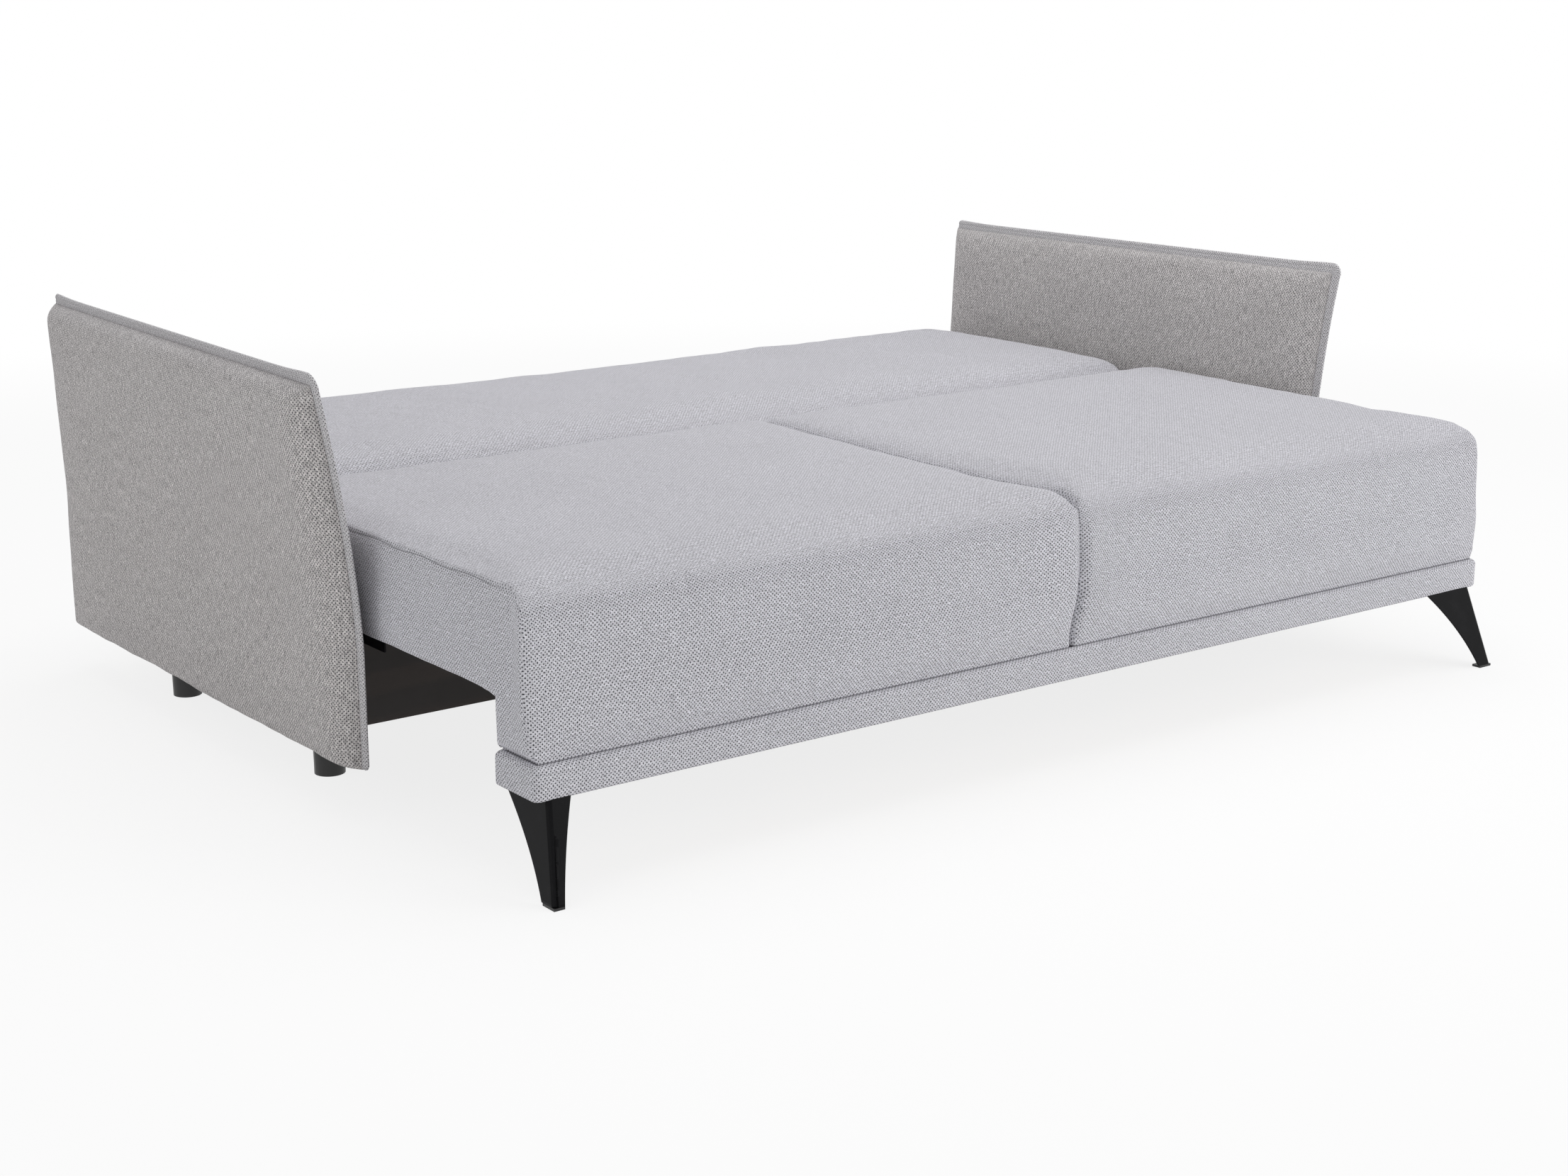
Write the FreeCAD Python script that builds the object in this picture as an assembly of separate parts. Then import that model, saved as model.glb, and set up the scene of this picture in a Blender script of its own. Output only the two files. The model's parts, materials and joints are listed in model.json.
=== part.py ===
import FreeCAD, Part
import os

from FreeCAD import Vector

os.makedirs("parts", exist_ok=True)

# Sofa bed, stored opened out as a bed. Millimetres, +X to the right, +Y to the rear, +Z up,
# with the floor at z = 0. Left pieces lie at -X and are mirror images of the right ones.

# Heights, floor upwards.
base_low = 90.0
base_high = 232.0
front_panel_high = 240.0
plinth_low = 142.0
plinth_high = 200.0
frame_low = 284.0
rail_height = 60.0
slat_thick = 8.0
seat_foam = 88.0
back_foam = 98.0
arm_low = 88.0
arm_high = 662.0
flange_stand = 14.0

# Depths, front to rear.
seat_front = -735.0
seat_rear = 100.0
plinth_stand = 4.0
apron_depth = 98.0
back_rear = 782.0
base_front = -135.0
base_rear = 637.0
arm_front = -297.0
arm_rear = 769.0

# Half widths.
seat_half = 1000.0
back_half = 979.0
base_half = 997.0
arm_gap = 5.0

# Boards, foam and sheet.
board = 18.0
panel = 16.0
side_board = 22.0
bottom_board = 12.0
rail_wide = 28.0
front_foam = 26.0
side_foam = 9.5
side_lip = 12.0
cloth_thick = 1.0
split_gap = 2.0
seat_front_round = 80.0
back_rear_round = 45.0
wrap_round = 22.0

# Motion.
travel = 390.0
hinge_setback = 90.0
move_gap = 0.8
fit_gap = 0.1
turn_gap = 0.05

# Steel and fasteners.
sheet_steel = 3.0
hinge_steel = 4.0
pin_radius = 6.0
bush_radius = 8.0
roller_radius = 15.0
roller_wide = 15.0
axle_radius = 4.0
screw_radius = 3.0
bolt_radius = 4.0
foot_radius = 26.0
foot_inset = 30.0
foot_front_inset = 74.0
foot_rear_inset = 158.0

# Arm, measured from its seam line outwards.
arm_inner = 22.0
arm_core = 9.0
arm_outer = 46.0
core_inset = 30.0
core_foot = 10.0
flange_thick = 6.0
flare_reach = 55.0
flare_rear = 18.0
flare_start = 250.0
flare_bend = 1.6

# Worked out from the sizes above.
frame_high = frame_low + rail_height
pad_low = frame_high + slat_thick
seat_top = pad_low + seat_foam
back_top = pad_low + back_foam
apron_face = seat_front + front_foam
apron_back = seat_front + apron_depth
rail_outer = seat_half - side_foam - hinge_steel - fit_gap
rail_inner = rail_outer - rail_wide
back_front = seat_rear + move_gap
hinge_y = back_front + hinge_setback
hinge_z = back_top - hinge_setback
seam_x = seat_half + arm_gap + arm_inner
core_half = arm_core - fit_gap
base_wall = base_half - side_board
rail_top_gap = 0.5
rear_roller_y = seat_rear - 33.0
roller_z = base_high - 2.5 - rail_top_gap - roller_radius


def box(x0, x1, y0, y1, z0, z1):
    return Part.makeBox(x1 - x0, y1 - y0, z1 - z0, Vector(x0, y0, z0))


def rod_x(radius, x0, x1, y, z):
    return Part.makeCylinder(radius, x1 - x0, Vector(x0, y, z), Vector(1, 0, 0))


def rod_z(radius, x, y, z0, z1):
    return Part.makeCylinder(radius, z1 - z0, Vector(x, y, z0), Vector(0, 0, 1))


def mirrored(shape):
    return shape.mirror(Vector(0, 0, 0), Vector(1, 0, 0))


def both(shapes):
    return shapes + [mirrored(shape) for shape in shapes]


def save(node, shapes):
    Part.makeCompound(shapes).exportStep("parts/" + node + ".step")


def save_pair(node, right):
    save(node + "_right", [right])
    save(node + "_left", [mirrored(right)])


def prism_x(points, x0, x1):
    """Solid between x0 and x1 over a closed outline of (y, z) points."""
    outline = Part.makePolygon([Vector(x0, y, z) for y, z in points + points[:1]])
    return Part.Face(outline).extrude(Vector(x1 - x0, 0, 0))


def round_edges(solid, radius, picked):
    return solid.makeFillet(radius, [edge for edge in solid.Edges if picked(edge)])


def along_x(edge, y, z):
    """True for a straight edge that runs along X through (y, z)."""
    ends = [vertex.Point for vertex in edge.Vertexes]
    if len(ends) < 2 or abs(ends[0].x - ends[1].x) < 1.0:
        return False
    return all(abs(end.y - y) < 0.01 and abs(end.z - z) < 0.01 for end in ends)


# ---- Arms ----

def flare(share, z):
    """How far the arm leans outwards: nothing low down, a little at the rear top, most at the front top."""
    if z <= flare_start:
        return 0.0
    reach = flare_rear + (flare_reach - flare_rear) * share
    return reach * ((z - flare_start) / (arm_high - flare_start)) ** flare_bend


def arm_wall(y, share, offset, low, high):
    """One side of an upright slice: straight up to where the flare starts, then curving out."""
    heights = [flare_start + (high - flare_start) * step / 5.0 for step in range(6)]
    curve = Part.BSplineCurve()
    curve.interpolate([Vector(seam_x + offset + flare(share, z), y, z) for z in heights])
    straight = Part.makeLine(Vector(seam_x + offset, y, low), Vector(seam_x + offset, y, flare_start))
    return straight, curve.toShape()


def arm_section(y, inside, outside, low, high):
    """Closed wire of an upright slice through the arm, between two offsets from its seam line."""
    share = (arm_rear - y) / (arm_rear - arm_front)
    inner_straight, inner_curve = arm_wall(y, share, inside, low, high)
    outer_straight, outer_curve = arm_wall(y, share, outside, low, high)
    foot = Part.makeLine(inner_straight.Vertexes[0].Point, outer_straight.Vertexes[0].Point)
    head = Part.makeLine(inner_curve.Vertexes[-1].Point, outer_curve.Vertexes[-1].Point)
    return Part.Wire([foot, outer_straight, outer_curve, head, inner_curve, inner_straight])


def arm_slab(inside, outside, front, rear, low, high):
    slices = [arm_section(y, inside, outside, low, high) for y in (front, rear)]
    return Part.makeLoft(slices, True, True)


spacer_spots = [base_front + 190.0, base_rear - 262.0]
spacer_long = 80.0
spacer_low = 112.0
spacer_high = 204.0
bolt_heights = [128.0, 172.0]


def arm_spacers():
    outer = seam_x - core_half
    return [box(base_half, outer, y - spacer_long / 2, y + spacer_long / 2, spacer_low, spacer_high)
            for y in spacer_spots]


def arm_bolts():
    bolts = []
    for y in spacer_spots:
        for z in bolt_heights:
            shank = rod_x(bolt_radius, base_wall, seam_x + arm_core - 2.0, y, z)
            head = rod_x(2.2 * bolt_radius, base_wall - 5.0, base_wall, y, z)
            bolts.append(head.fuse(shank))
    return bolts


def bolt_holes():
    return [rod_x(bolt_radius + fit_gap, base_wall - 1.0, seam_x + arm_core + 1.0, y, z)
            for y in spacer_spots for z in bolt_heights]


def build_arms():
    core_front = arm_front + core_inset
    core_high = arm_high - core_inset
    core = arm_slab(-core_half, core_half, core_front, arm_rear - core_inset, arm_low + core_foot,
                    core_high).cut(bolt_holes())
    pockets = [box(base_half, seam_x, y - spacer_long / 2 - fit_gap, y + spacer_long / 2 + fit_gap,
                   spacer_low - fit_gap, spacer_high + fit_gap) for y in spacer_spots]
    inner_pad = arm_slab(-arm_inner, -arm_core, arm_front, arm_rear, arm_low, arm_high).cut(pockets)
    outer_pad = arm_slab(arm_core, arm_outer, arm_front, arm_rear, arm_low, arm_high)
    sheet = arm_slab(-flange_thick / 2, flange_thick / 2, arm_front - flange_stand, arm_rear,
                     arm_low, arm_high + flange_stand)
    inside = box(seat_half, seam_x + arm_outer + flare_reach, core_front, arm_rear + 1.0,
                 arm_low - 1.0, core_high)
    save_pair("arm_core", core)
    save_pair("arm_inner_pad", inner_pad)
    save_pair("arm_outer_pad", outer_pad)
    save_pair("arm_flange", sheet.cut(inside))
    save("arm_spacers", both([spacer.cut(bolt_holes()) for spacer in arm_spacers()]))
    save("arm_bolts", both(arm_bolts()))


# ---- Base ----

block_long = 70.0
block_wide = 50.0
block_high = 60.0
stud_radius = 4.0
stud_rise = 45.0


def foot_spots():
    x = base_half - foot_inset
    return [(x, base_front + foot_front_inset), (x, base_rear - foot_rear_inset)]


def build_feet():
    feet = []
    studs = []
    for x, y in foot_spots():
        body = Part.makeCone(foot_radius - 1.5, foot_radius, base_low, Vector(x, y, 0))
        body = body.cut(rod_z(stud_radius + fit_gap, x, y, base_low - 30.0, base_low + 1.0))
        feet.append(body)
        studs.append(rod_z(stud_radius, x, y, base_low - 28.0, base_low + stud_rise))
    save("base_feet", both(feet))
    save("foot_studs", both(studs))


def stud_holes():
    right = [rod_z(stud_radius + fit_gap, x, y, base_low - 1.0, base_low + stud_rise + 1.0)
             for x, y in foot_spots()]
    return both(right)


def build_base_box():
    face = base_front + panel
    side = box(base_wall, base_half, face, base_rear, base_low, base_high).cut(bolt_holes())
    front = box(-base_half, base_half, base_front, face, base_low, front_panel_high)
    rear = box(-base_wall, base_wall, base_rear - side_board, base_rear, base_low, base_high)
    floor = box(-base_wall, base_wall, face, base_rear - side_board, base_low,
                base_low + bottom_board).cut(stud_holes())
    blocks = []
    for x, y in foot_spots():
        block = box(base_wall - block_wide, base_wall, y - block_long / 2, y + block_long / 2,
                    base_low + bottom_board, base_low + bottom_board + block_high)
        blocks.append(block.cut(stud_holes()))
    save_pair("base_side", side.cut(rail_screw_holes()))
    save("base_front_panel", [front])
    save("base_rear_board", [rear])
    save("base_bottom_panel", [floor])
    save("corner_blocks", both(blocks))


track_web = 2.0
track_flange = 20.0
track_lip = 2.0
track_front = base_front + panel + 6.0
track_clear = 40.0
track_rear = rear_roller_y + travel + roller_radius + track_clear
screw_spots = [track_front + 40.0, (track_front + track_rear) / 2, track_rear - 40.0]
screw_long = 14.0


def track_screws():
    wall = base_wall - track_web
    screws = []
    for y in screw_spots:
        head = rod_x(5.0, wall - 2.0, wall, y, roller_z)
        shank = rod_x(screw_radius, wall, wall + screw_long, y, roller_z)
        screws.append(head.fuse(shank))
    return screws


def rail_screw_holes():
    return [rod_x(screw_radius + fit_gap, base_wall - track_web - 1.0,
                  base_wall - track_web + screw_long + fit_gap, y, roller_z) for y in screw_spots]


def build_tracks():
    """Channels on the inside of the base sides, in which the rollers run."""
    inner = base_wall - track_flange
    reach = roller_radius + rail_top_gap
    web = box(base_wall - track_web, base_wall, track_front, track_rear,
              roller_z - reach - track_lip, roller_z + reach + track_lip)
    lower = box(inner, base_wall, track_front, track_rear, roller_z - reach - track_lip,
                roller_z - reach)
    upper = box(inner, base_wall, track_front, track_rear, roller_z + reach,
                roller_z + reach + track_lip)
    track = web.fuse([lower, upper]).removeSplitter().cut(rail_screw_holes())
    save_pair("roller_track", track)
    save("track_screws", both(track_screws()))


buffer_spots = [280.0, base_half - 217.0]
buffer_radius = 14.0
buffer_high = 6.0
rest_y = base_rear - side_board / 2


def build_buffers():
    right = [rod_z(buffer_radius * 0.7, x, rest_y, base_high, base_high + buffer_high)
             for x in buffer_spots]
    save("rear_buffers", both(right))


# ---- Seat ----

def build_seat_frame():
    face = apron_back
    rear = seat_rear - 5.0
    side = box(rail_inner, rail_outer, face, rear, frame_low, frame_high)
    front = box(-rail_inner, rail_inner, face, face + rail_wide, frame_low, frame_high)
    back = box(-rail_inner, rail_inner, rear - rail_wide, rear, frame_low, frame_high)
    middle = box(-rail_wide / 2, rail_wide / 2, face + rail_wide, rear - rail_wide, frame_low,
                 frame_high)
    save("seat_side_rails", both([side]))
    save("seat_cross_rails", [front, back, middle])
    save("seat_slats", slat_row(face + 4.0, rear - 4.0, rail_inner))


slat_wide = 60.0
slats_per_side = 6


def slat_row(front, rear, half):
    """Flat slats on top of a frame, evenly spaced over each half."""
    pitch = half / slats_per_side
    right = [box(pitch * (step + 0.5) - slat_wide / 2, pitch * (step + 0.5) + slat_wide / 2,
                 front, rear, frame_high, pad_low) for step in range(slats_per_side)]
    return both(right)


leg_inset_side = 21.0
leg_ahead = 4.0
leg_plate_wide = 96.0
leg_plate_long = 96.0
leg_corner_x = seat_half - leg_inset_side
leg_corner_y = seat_front - leg_ahead
leg_plate_x = (leg_corner_x - leg_plate_wide, leg_corner_x - 1.0)
leg_plate_y = (leg_corner_y, leg_corner_y + leg_plate_long)
leg_screw_x = (leg_plate_x[0] + 20.0, leg_plate_x[0] + 46.0)
leg_screw_y = (apron_face + 10.0, apron_face + 38.0)
leg_screw_long = 30.0


def leg_screws():
    screws = []
    low = plinth_low - sheet_steel
    for x in leg_screw_x:
        for y in leg_screw_y:
            head = rod_z(2.0 * screw_radius, x, y, low - 3.0, low)
            shank = rod_z(screw_radius, x, y, low, low + leg_screw_long)
            screws.append(head.fuse(shank))
    return screws


def leg_screw_holes():
    low = plinth_low - sheet_steel
    return both([rod_z(screw_radius + fit_gap, x, y, low - 1.0, low + leg_screw_long + 1.0)
                 for x in leg_screw_x for y in leg_screw_y])


def build_apron():
    floor_high = plinth_low + bottom_board
    rear_low = apron_back - board
    front = box(-rail_outer, rail_outer, apron_face, apron_face + board, floor_high, frame_high)
    rear = box(-rail_outer, rail_outer, rear_low, apron_back, floor_high, frame_high)
    floor = box(-rail_outer, rail_outer, apron_face, apron_back, plinth_low, floor_high)
    end = box(rail_outer - board, rail_outer, apron_face + board, rear_low, floor_high, frame_high)
    block = box(leg_screw_x[0] - 15.0, rail_outer - board, apron_face + board, rear_low,
                floor_high, floor_high + block_high)
    holes = leg_screw_holes()
    save("apron_front_board", [front.cut(holes)])
    save("apron_rear_board", [rear.cut(holes)])
    save("apron_bottom_board", [floor.cut(holes)])
    save("apron_ends", both([end]))
    save("leg_blocks", both([block.cut(holes)]))


def build_plinth_roll():
    front = seat_front - plinth_stand
    outer = box(-seat_half, seat_half, front, apron_back, plinth_low, plinth_high)
    inner = box(-rail_outer, rail_outer, apron_face, apron_back + 1.0, plinth_low - 1.0,
                plinth_high + 1.0)
    roll = outer.cut(inner)
    corners = round_edges(roll, 14.0, lambda edge: len(edge.Vertexes) == 2
                          and abs(edge.Vertexes[0].Point.z - edge.Vertexes[1].Point.z) > 50.0
                          and abs(edge.Vertexes[0].Point.y - front) < 0.01)
    save("plinth_roll", [corners])


def build_seat_pads():
    centre = split_gap / 2
    slab = box(centre, seat_half, seat_front, seat_rear, pad_low, seat_top)
    slab = round_edges(slab, seat_front_round, lambda edge: along_x(edge, seat_front, seat_top))
    front = box(centre, seat_half, seat_front, apron_face, plinth_high, pad_low)
    wrap_low = frame_low - side_lip
    wrap_points = [(apron_face, plinth_high), (apron_back, plinth_high), (apron_back, wrap_low),
                   (seat_rear, wrap_low), (seat_rear, pad_low), (apron_face, pad_low)]
    wrap = prism_x(wrap_points, seat_half - side_foam, seat_half)
    save_pair("seat_pad", slab)
    save_pair("seat_front_pad", front)
    save_pair("seat_side_wrap", wrap)
    cloth_half = runner_inner - 4.0
    cloth = box(-cloth_half, cloth_half, apron_back + 2.0, seat_rear - 6.0,
                frame_low - cloth_thick, frame_low)
    save("seat_underside_cloth", [cloth])


# ---- Runners, rollers and axles ----

runner_ahead = 155.0
runner_front = base_front - runner_ahead
runner_rear = seat_rear - 7.0
runner_drop = 34.0
lug_wide = 34.0
roller_spots = [rear_roller_y - 110.0, rear_roller_y]
roller_inner = base_wall - track_web - 3.0 - roller_wide
runner_inner = base_wall - track_flange - 3.0 - sheet_steel


def axle_row():
    axles = []
    for y in roller_spots:
        head = rod_x(1.6 * axle_radius, runner_inner - 3.0, runner_inner, y, roller_z)
        shank = rod_x(axle_radius, runner_inner, roller_inner + roller_wide + 1.0, y, roller_z)
        axles.append(head.fuse(shank))
    return axles


def build_runners():
    """Folded steel runners under the seat, with lugs that reach down to the rollers."""
    high = frame_low
    low = high - runner_drop
    outer = rail_outer - 4.0
    top = box(runner_inner, outer, runner_front, runner_rear, high - sheet_steel, high)
    inner_leg = box(runner_inner, runner_inner + sheet_steel, runner_front, runner_rear, low, high)
    outer_leg = box(outer - sheet_steel, outer, runner_front, runner_rear, low, high)
    lugs = [box(runner_inner, runner_inner + sheet_steel, y - lug_wide / 2, y + lug_wide / 2,
                roller_z - 12.0, high) for y in roller_spots]
    runner = top.fuse([inner_leg, outer_leg] + lugs).removeSplitter()
    holes = [rod_x(axle_radius, runner_inner - 1.0, runner_inner + sheet_steel + 1.0, y, roller_z)
             for y in roller_spots]
    save_pair("seat_runner", runner.cut(holes))
    save("roller_axles", both(axle_row()))


def build_rollers():
    for place, y in zip(("front", "rear"), roller_spots):
        wheel = rod_x(roller_radius, roller_inner, roller_inner + roller_wide, y, roller_z)
        wheel = wheel.makeFillet(2.0, [edge for edge in wheel.Edges if len(edge.Vertexes) == 1])
        bore = rod_x(axle_radius + turn_gap, roller_inner - 1.0, roller_inner + roller_wide + 1.0,
                     y, roller_z)
        save_pair("roller_" + place, wheel.cut(bore))


# ---- Front legs ----

glide_thick = 4.0
leg_splay_side = 21.0
leg_splay_front = 43.0
crease_top = Vector(leg_corner_x, leg_corner_y, plinth_low - sheet_steel)
crease_low = Vector(leg_corner_x + leg_splay_side, leg_corner_y - leg_splay_front, glide_thick)
wide_wing_top = 116.0
wide_wing_low = 30.0
slim_wing_top = 38.0
slim_wing_low = 17.5
wing_waist = 0.42
wing_waist_share = 0.25


def wing(direction, wide, narrow, push):
    """Flat folded wing from the crease, its free edge curving in towards the foot."""
    waist = crease_top + (crease_low - crease_top) * wing_waist
    waist_wide = narrow + (wide - narrow) * wing_waist_share
    free_edge = Part.BSplineCurve()
    free_edge.interpolate([crease_top + direction * wide, waist + direction * waist_wide,
                           crease_low + direction * narrow])
    outline = Part.Wire([Part.makeLine(crease_low, crease_top),
                         Part.makeLine(crease_top, crease_top + direction * wide),
                         free_edge.toShape(),
                         Part.makeLine(crease_low + direction * narrow, crease_low)])
    return Part.Face(outline).extrude(push * sheet_steel)


def leg_and_glide(side_top, side_low, front_top, front_low):
    """A right-hand leg from the widths of its side and front wings, and the glide under it."""
    inwards = Vector(-1, 0, 0)
    rearwards = Vector(0, 1, 0)
    side = wing(rearwards, side_top, side_low, inwards)
    front = wing(inwards, front_top, front_low, rearwards)
    plate = box(leg_plate_x[0], leg_plate_x[1], leg_plate_y[0], leg_plate_y[1],
                plinth_low - sheet_steel, plinth_low)
    leg = side.fuse([front, plate]).removeSplitter().cut(leg_screw_holes())
    glide = box(crease_low.x - front_low, crease_low.x, crease_low.y,
                crease_low.y + side_low, 0.0, crease_low.z)
    return leg, glide


def build_legs():
    """The same leg at both corners, so its wide wing is at the side on the left, in front on the right."""
    right_leg, right_glide = leg_and_glide(slim_wing_top, slim_wing_low, wide_wing_top, wide_wing_low)
    left_leg, left_glide = leg_and_glide(wide_wing_top, wide_wing_low, slim_wing_top, slim_wing_low)
    save("front_leg_right", [right_leg])
    save("front_leg_left", [mirrored(left_leg)])
    save("leg_screws", both(leg_screws()))
    save("leg_glides", [right_glide, mirrored(left_glide)])


# ---- Hinge between seat and back ----

def tongue(points, x0, x1):
    """Flat plate: a straight tail that tapers into a round eye about the hinge axis."""
    tail = prism_x(points, x0, x1)
    eye = rod_x(hinge_eye, x0, x1, hinge_y, hinge_z)
    return tail.fuse(eye).removeSplitter()


hinge_eye = 20.0
plate_inner = rail_outer
ear_inner = back_half + 1.0


def build_hinge():
    plate_outer = plate_inner + hinge_steel
    ear_outer = ear_inner + hinge_steel
    tail_low = frame_low + 12.0
    tail_high = frame_high - 8.0
    plate_points = [(seat_rear - 110.0, tail_low), (seat_rear - 10.0, tail_low),
                    (hinge_y + 8.0, hinge_z - 18.0), (hinge_y - 8.0, hinge_z + 18.0),
                    (seat_rear - 12.0, tail_high), (seat_rear - 110.0, tail_high)]
    plate = tongue(plate_points, plate_inner, plate_outer)
    ear_points = [(hinge_y - 18.0, hinge_z - 8.0), (hinge_y - 10.0, tail_low),
                  (hinge_y + 100.0, tail_low), (hinge_y + 100.0, tail_high),
                  (hinge_y + 16.0, hinge_z + 10.0)]
    ear = tongue(ear_points, ear_inner, ear_outer)
    pin = rod_x(pin_radius, ear_inner - 6.0, plate_outer, hinge_y, hinge_z)
    pin = pin.fuse(rod_x(1.5 * pin_radius, plate_outer, plate_outer + 4.0, hinge_y, hinge_z))
    bush = rod_x(bush_radius, ear_inner, ear_outer, hinge_y, hinge_z)
    running = rod_x(pin_radius + turn_gap, ear_inner - 1.0, ear_outer + 1.0, hinge_y, hinge_z)
    seat_hole = rod_x(pin_radius, plate_inner - 1.0, plate_outer, hinge_y, hinge_z)
    ear_hole = rod_x(bush_radius, ear_inner - 1.0, ear_outer + 1.0, hinge_y, hinge_z)
    save("seat_hinge_plates", both([plate.cut(seat_hole)]))
    save("back_hinge_ears", both([ear.cut(ear_hole)]))
    save("hinge_pins", both([pin]))
    save("hinge_bushes", both([bush.cut(running)]))


# ---- Back ----

back_lip = 24.0


def build_back_frame():
    outer = ear_inner
    inner = outer - rail_wide
    front = back_front + back_lip
    rear = back_rear - back_lip
    side = box(inner, outer, front, rear, frame_low, frame_high)
    rails = [box(-inner, inner, y, y + rail_wide, frame_low, frame_high)
             for y in (front, rest_y - rail_wide / 2, rear - rail_wide)]
    low = base_high + buffer_high + 1.0
    blocks = [box(x - 30.0, x + 30.0, rest_y - rail_wide / 2, rest_y + rail_wide / 2, low,
                  frame_low - cloth_thick) for x in buffer_spots]
    pin_room = both([rod_x(bush_radius + 1.0, inner, outer + 1.0, hinge_y, hinge_z)])
    save("back_side_rails", [rail.cut(pin_room) for rail in both([side])])
    save("back_cross_rails", rails)
    save("back_slats", slat_row(front + 4.0, rear - 4.0, inner))
    save("back_support_blocks", both(blocks))


def build_back_pad():
    pin_room = both([rod_x(pin_radius + 3.0, ear_inner - 8.0, back_half + 1.0, hinge_y, hinge_z)])
    slab = box(-back_half, back_half, back_front, back_rear, pad_low, back_top)
    slab = round_edges(slab, hinge_setback, lambda edge: along_x(edge, back_front, back_top))
    slab = round_edges(slab, back_rear_round, lambda edge: along_x(edge, back_rear, back_top))
    front = box(-back_half, back_half, back_front, back_front + back_lip, frame_low + 8.0, pad_low)
    front = round_edges(front, wrap_round, lambda edge: along_x(edge, back_front, frame_low + 8.0))
    rear = box(-back_half, back_half, back_rear - back_lip, back_rear, frame_low, pad_low)
    cloth = box(-(back_half - 8.0), back_half - 8.0, back_front + back_lip + 2.0,
                back_rear - back_lip - 2.0, frame_low - cloth_thick, frame_low)
    save("back_pad", [slab.cut(pin_room)])
    save("back_edge_wraps", [front, rear])
    save("back_underside_cloth", [cloth])


build_arms()
build_feet()
build_base_box()
build_tracks()
build_buffers()
build_seat_frame()
build_apron()
build_plinth_roll()
build_seat_pads()
build_runners()
build_rollers()
build_legs()
build_hinge()
build_back_frame()
build_back_pad()
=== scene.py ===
import json
import math

import bmesh
import bpy
import numpy as np
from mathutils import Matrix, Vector


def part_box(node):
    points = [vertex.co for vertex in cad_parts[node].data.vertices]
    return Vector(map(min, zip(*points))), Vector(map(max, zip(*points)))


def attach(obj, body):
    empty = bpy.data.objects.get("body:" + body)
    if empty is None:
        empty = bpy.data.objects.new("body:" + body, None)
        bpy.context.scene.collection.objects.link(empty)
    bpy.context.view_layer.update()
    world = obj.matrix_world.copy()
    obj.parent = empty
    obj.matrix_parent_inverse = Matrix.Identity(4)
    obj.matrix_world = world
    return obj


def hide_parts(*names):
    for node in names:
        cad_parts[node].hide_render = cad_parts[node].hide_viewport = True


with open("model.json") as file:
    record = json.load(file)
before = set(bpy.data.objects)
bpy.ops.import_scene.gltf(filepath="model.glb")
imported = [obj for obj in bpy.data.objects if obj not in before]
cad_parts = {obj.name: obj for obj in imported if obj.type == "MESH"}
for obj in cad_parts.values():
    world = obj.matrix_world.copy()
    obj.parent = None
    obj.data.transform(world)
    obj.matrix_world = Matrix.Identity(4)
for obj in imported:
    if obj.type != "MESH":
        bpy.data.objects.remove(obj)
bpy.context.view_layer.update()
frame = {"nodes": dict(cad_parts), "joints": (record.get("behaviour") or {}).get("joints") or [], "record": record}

scene = bpy.context.scene
print("frame loaded:", len(frame["nodes"]), "nodes")


# Camera, floor and light

camera = {"lens": 56.83, "sensor": 36.0, "place": (-2.638, -3.465, 1.245), "yaw": 37.06, "down": 14.24}

stageLook = {
    "floorHalf": 30.0, "floorWhite": 0.97, "floorGlow": 0.82,
    "shadeNear": 2.0, "shadeFar": 4.6, "skyWhite": 0.92, "skyStrength": 0.50,
}

lamps = [
    {"name": "overhead", "place": (0.6, 0.2, 3.6), "aim": (0.0, 0.0, 0.3), "size": 4.2, "power": 78.0},
    {"name": "frontRight", "place": (2.6, -4.4, 2.0), "aim": (0.1, -0.2, 0.3), "size": 2.8, "power": 62.0},
    {"name": "leftFill", "place": (-4.6, -0.6, 1.8), "aim": (-0.4, 0.0, 0.3), "size": 2.8, "power": 16.0},
]


def aimed(thing, target):
    thing.rotation_euler = (Vector(target) - thing.location).to_track_quat("-Z", "Y").to_euler()


def makeCamera(look):
    data = bpy.data.cameras.new("camera")
    data.lens, data.sensor_width = look["lens"], look["sensor"]
    data.clip_end = 100.0
    eye = bpy.data.objects.new("camera", data)
    scene.collection.objects.link(eye)
    eye.location = look["place"]
    yaw, down = math.radians(look["yaw"]), math.radians(look["down"])
    ahead = Vector((math.sin(yaw) * math.cos(down), math.cos(yaw) * math.cos(down), -math.sin(down)))
    aimed(eye, eye.location + ahead)
    scene.camera = eye


def makeLamp(look):
    data = bpy.data.lights.new(look["name"], "AREA")
    data.shape, data.size, data.energy = "SQUARE", look["size"], look["power"]
    lamp = bpy.data.objects.new(look["name"], data)
    scene.collection.objects.link(lamp)
    lamp.location = look["place"]
    aimed(lamp, look["aim"])


makeCamera(camera)
for lampLook in lamps:
    makeLamp(lampLook)
scene.view_settings.view_transform = "Standard"


# Shader building: a wire is a socket, and arithmetic on wires adds Math nodes

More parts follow.
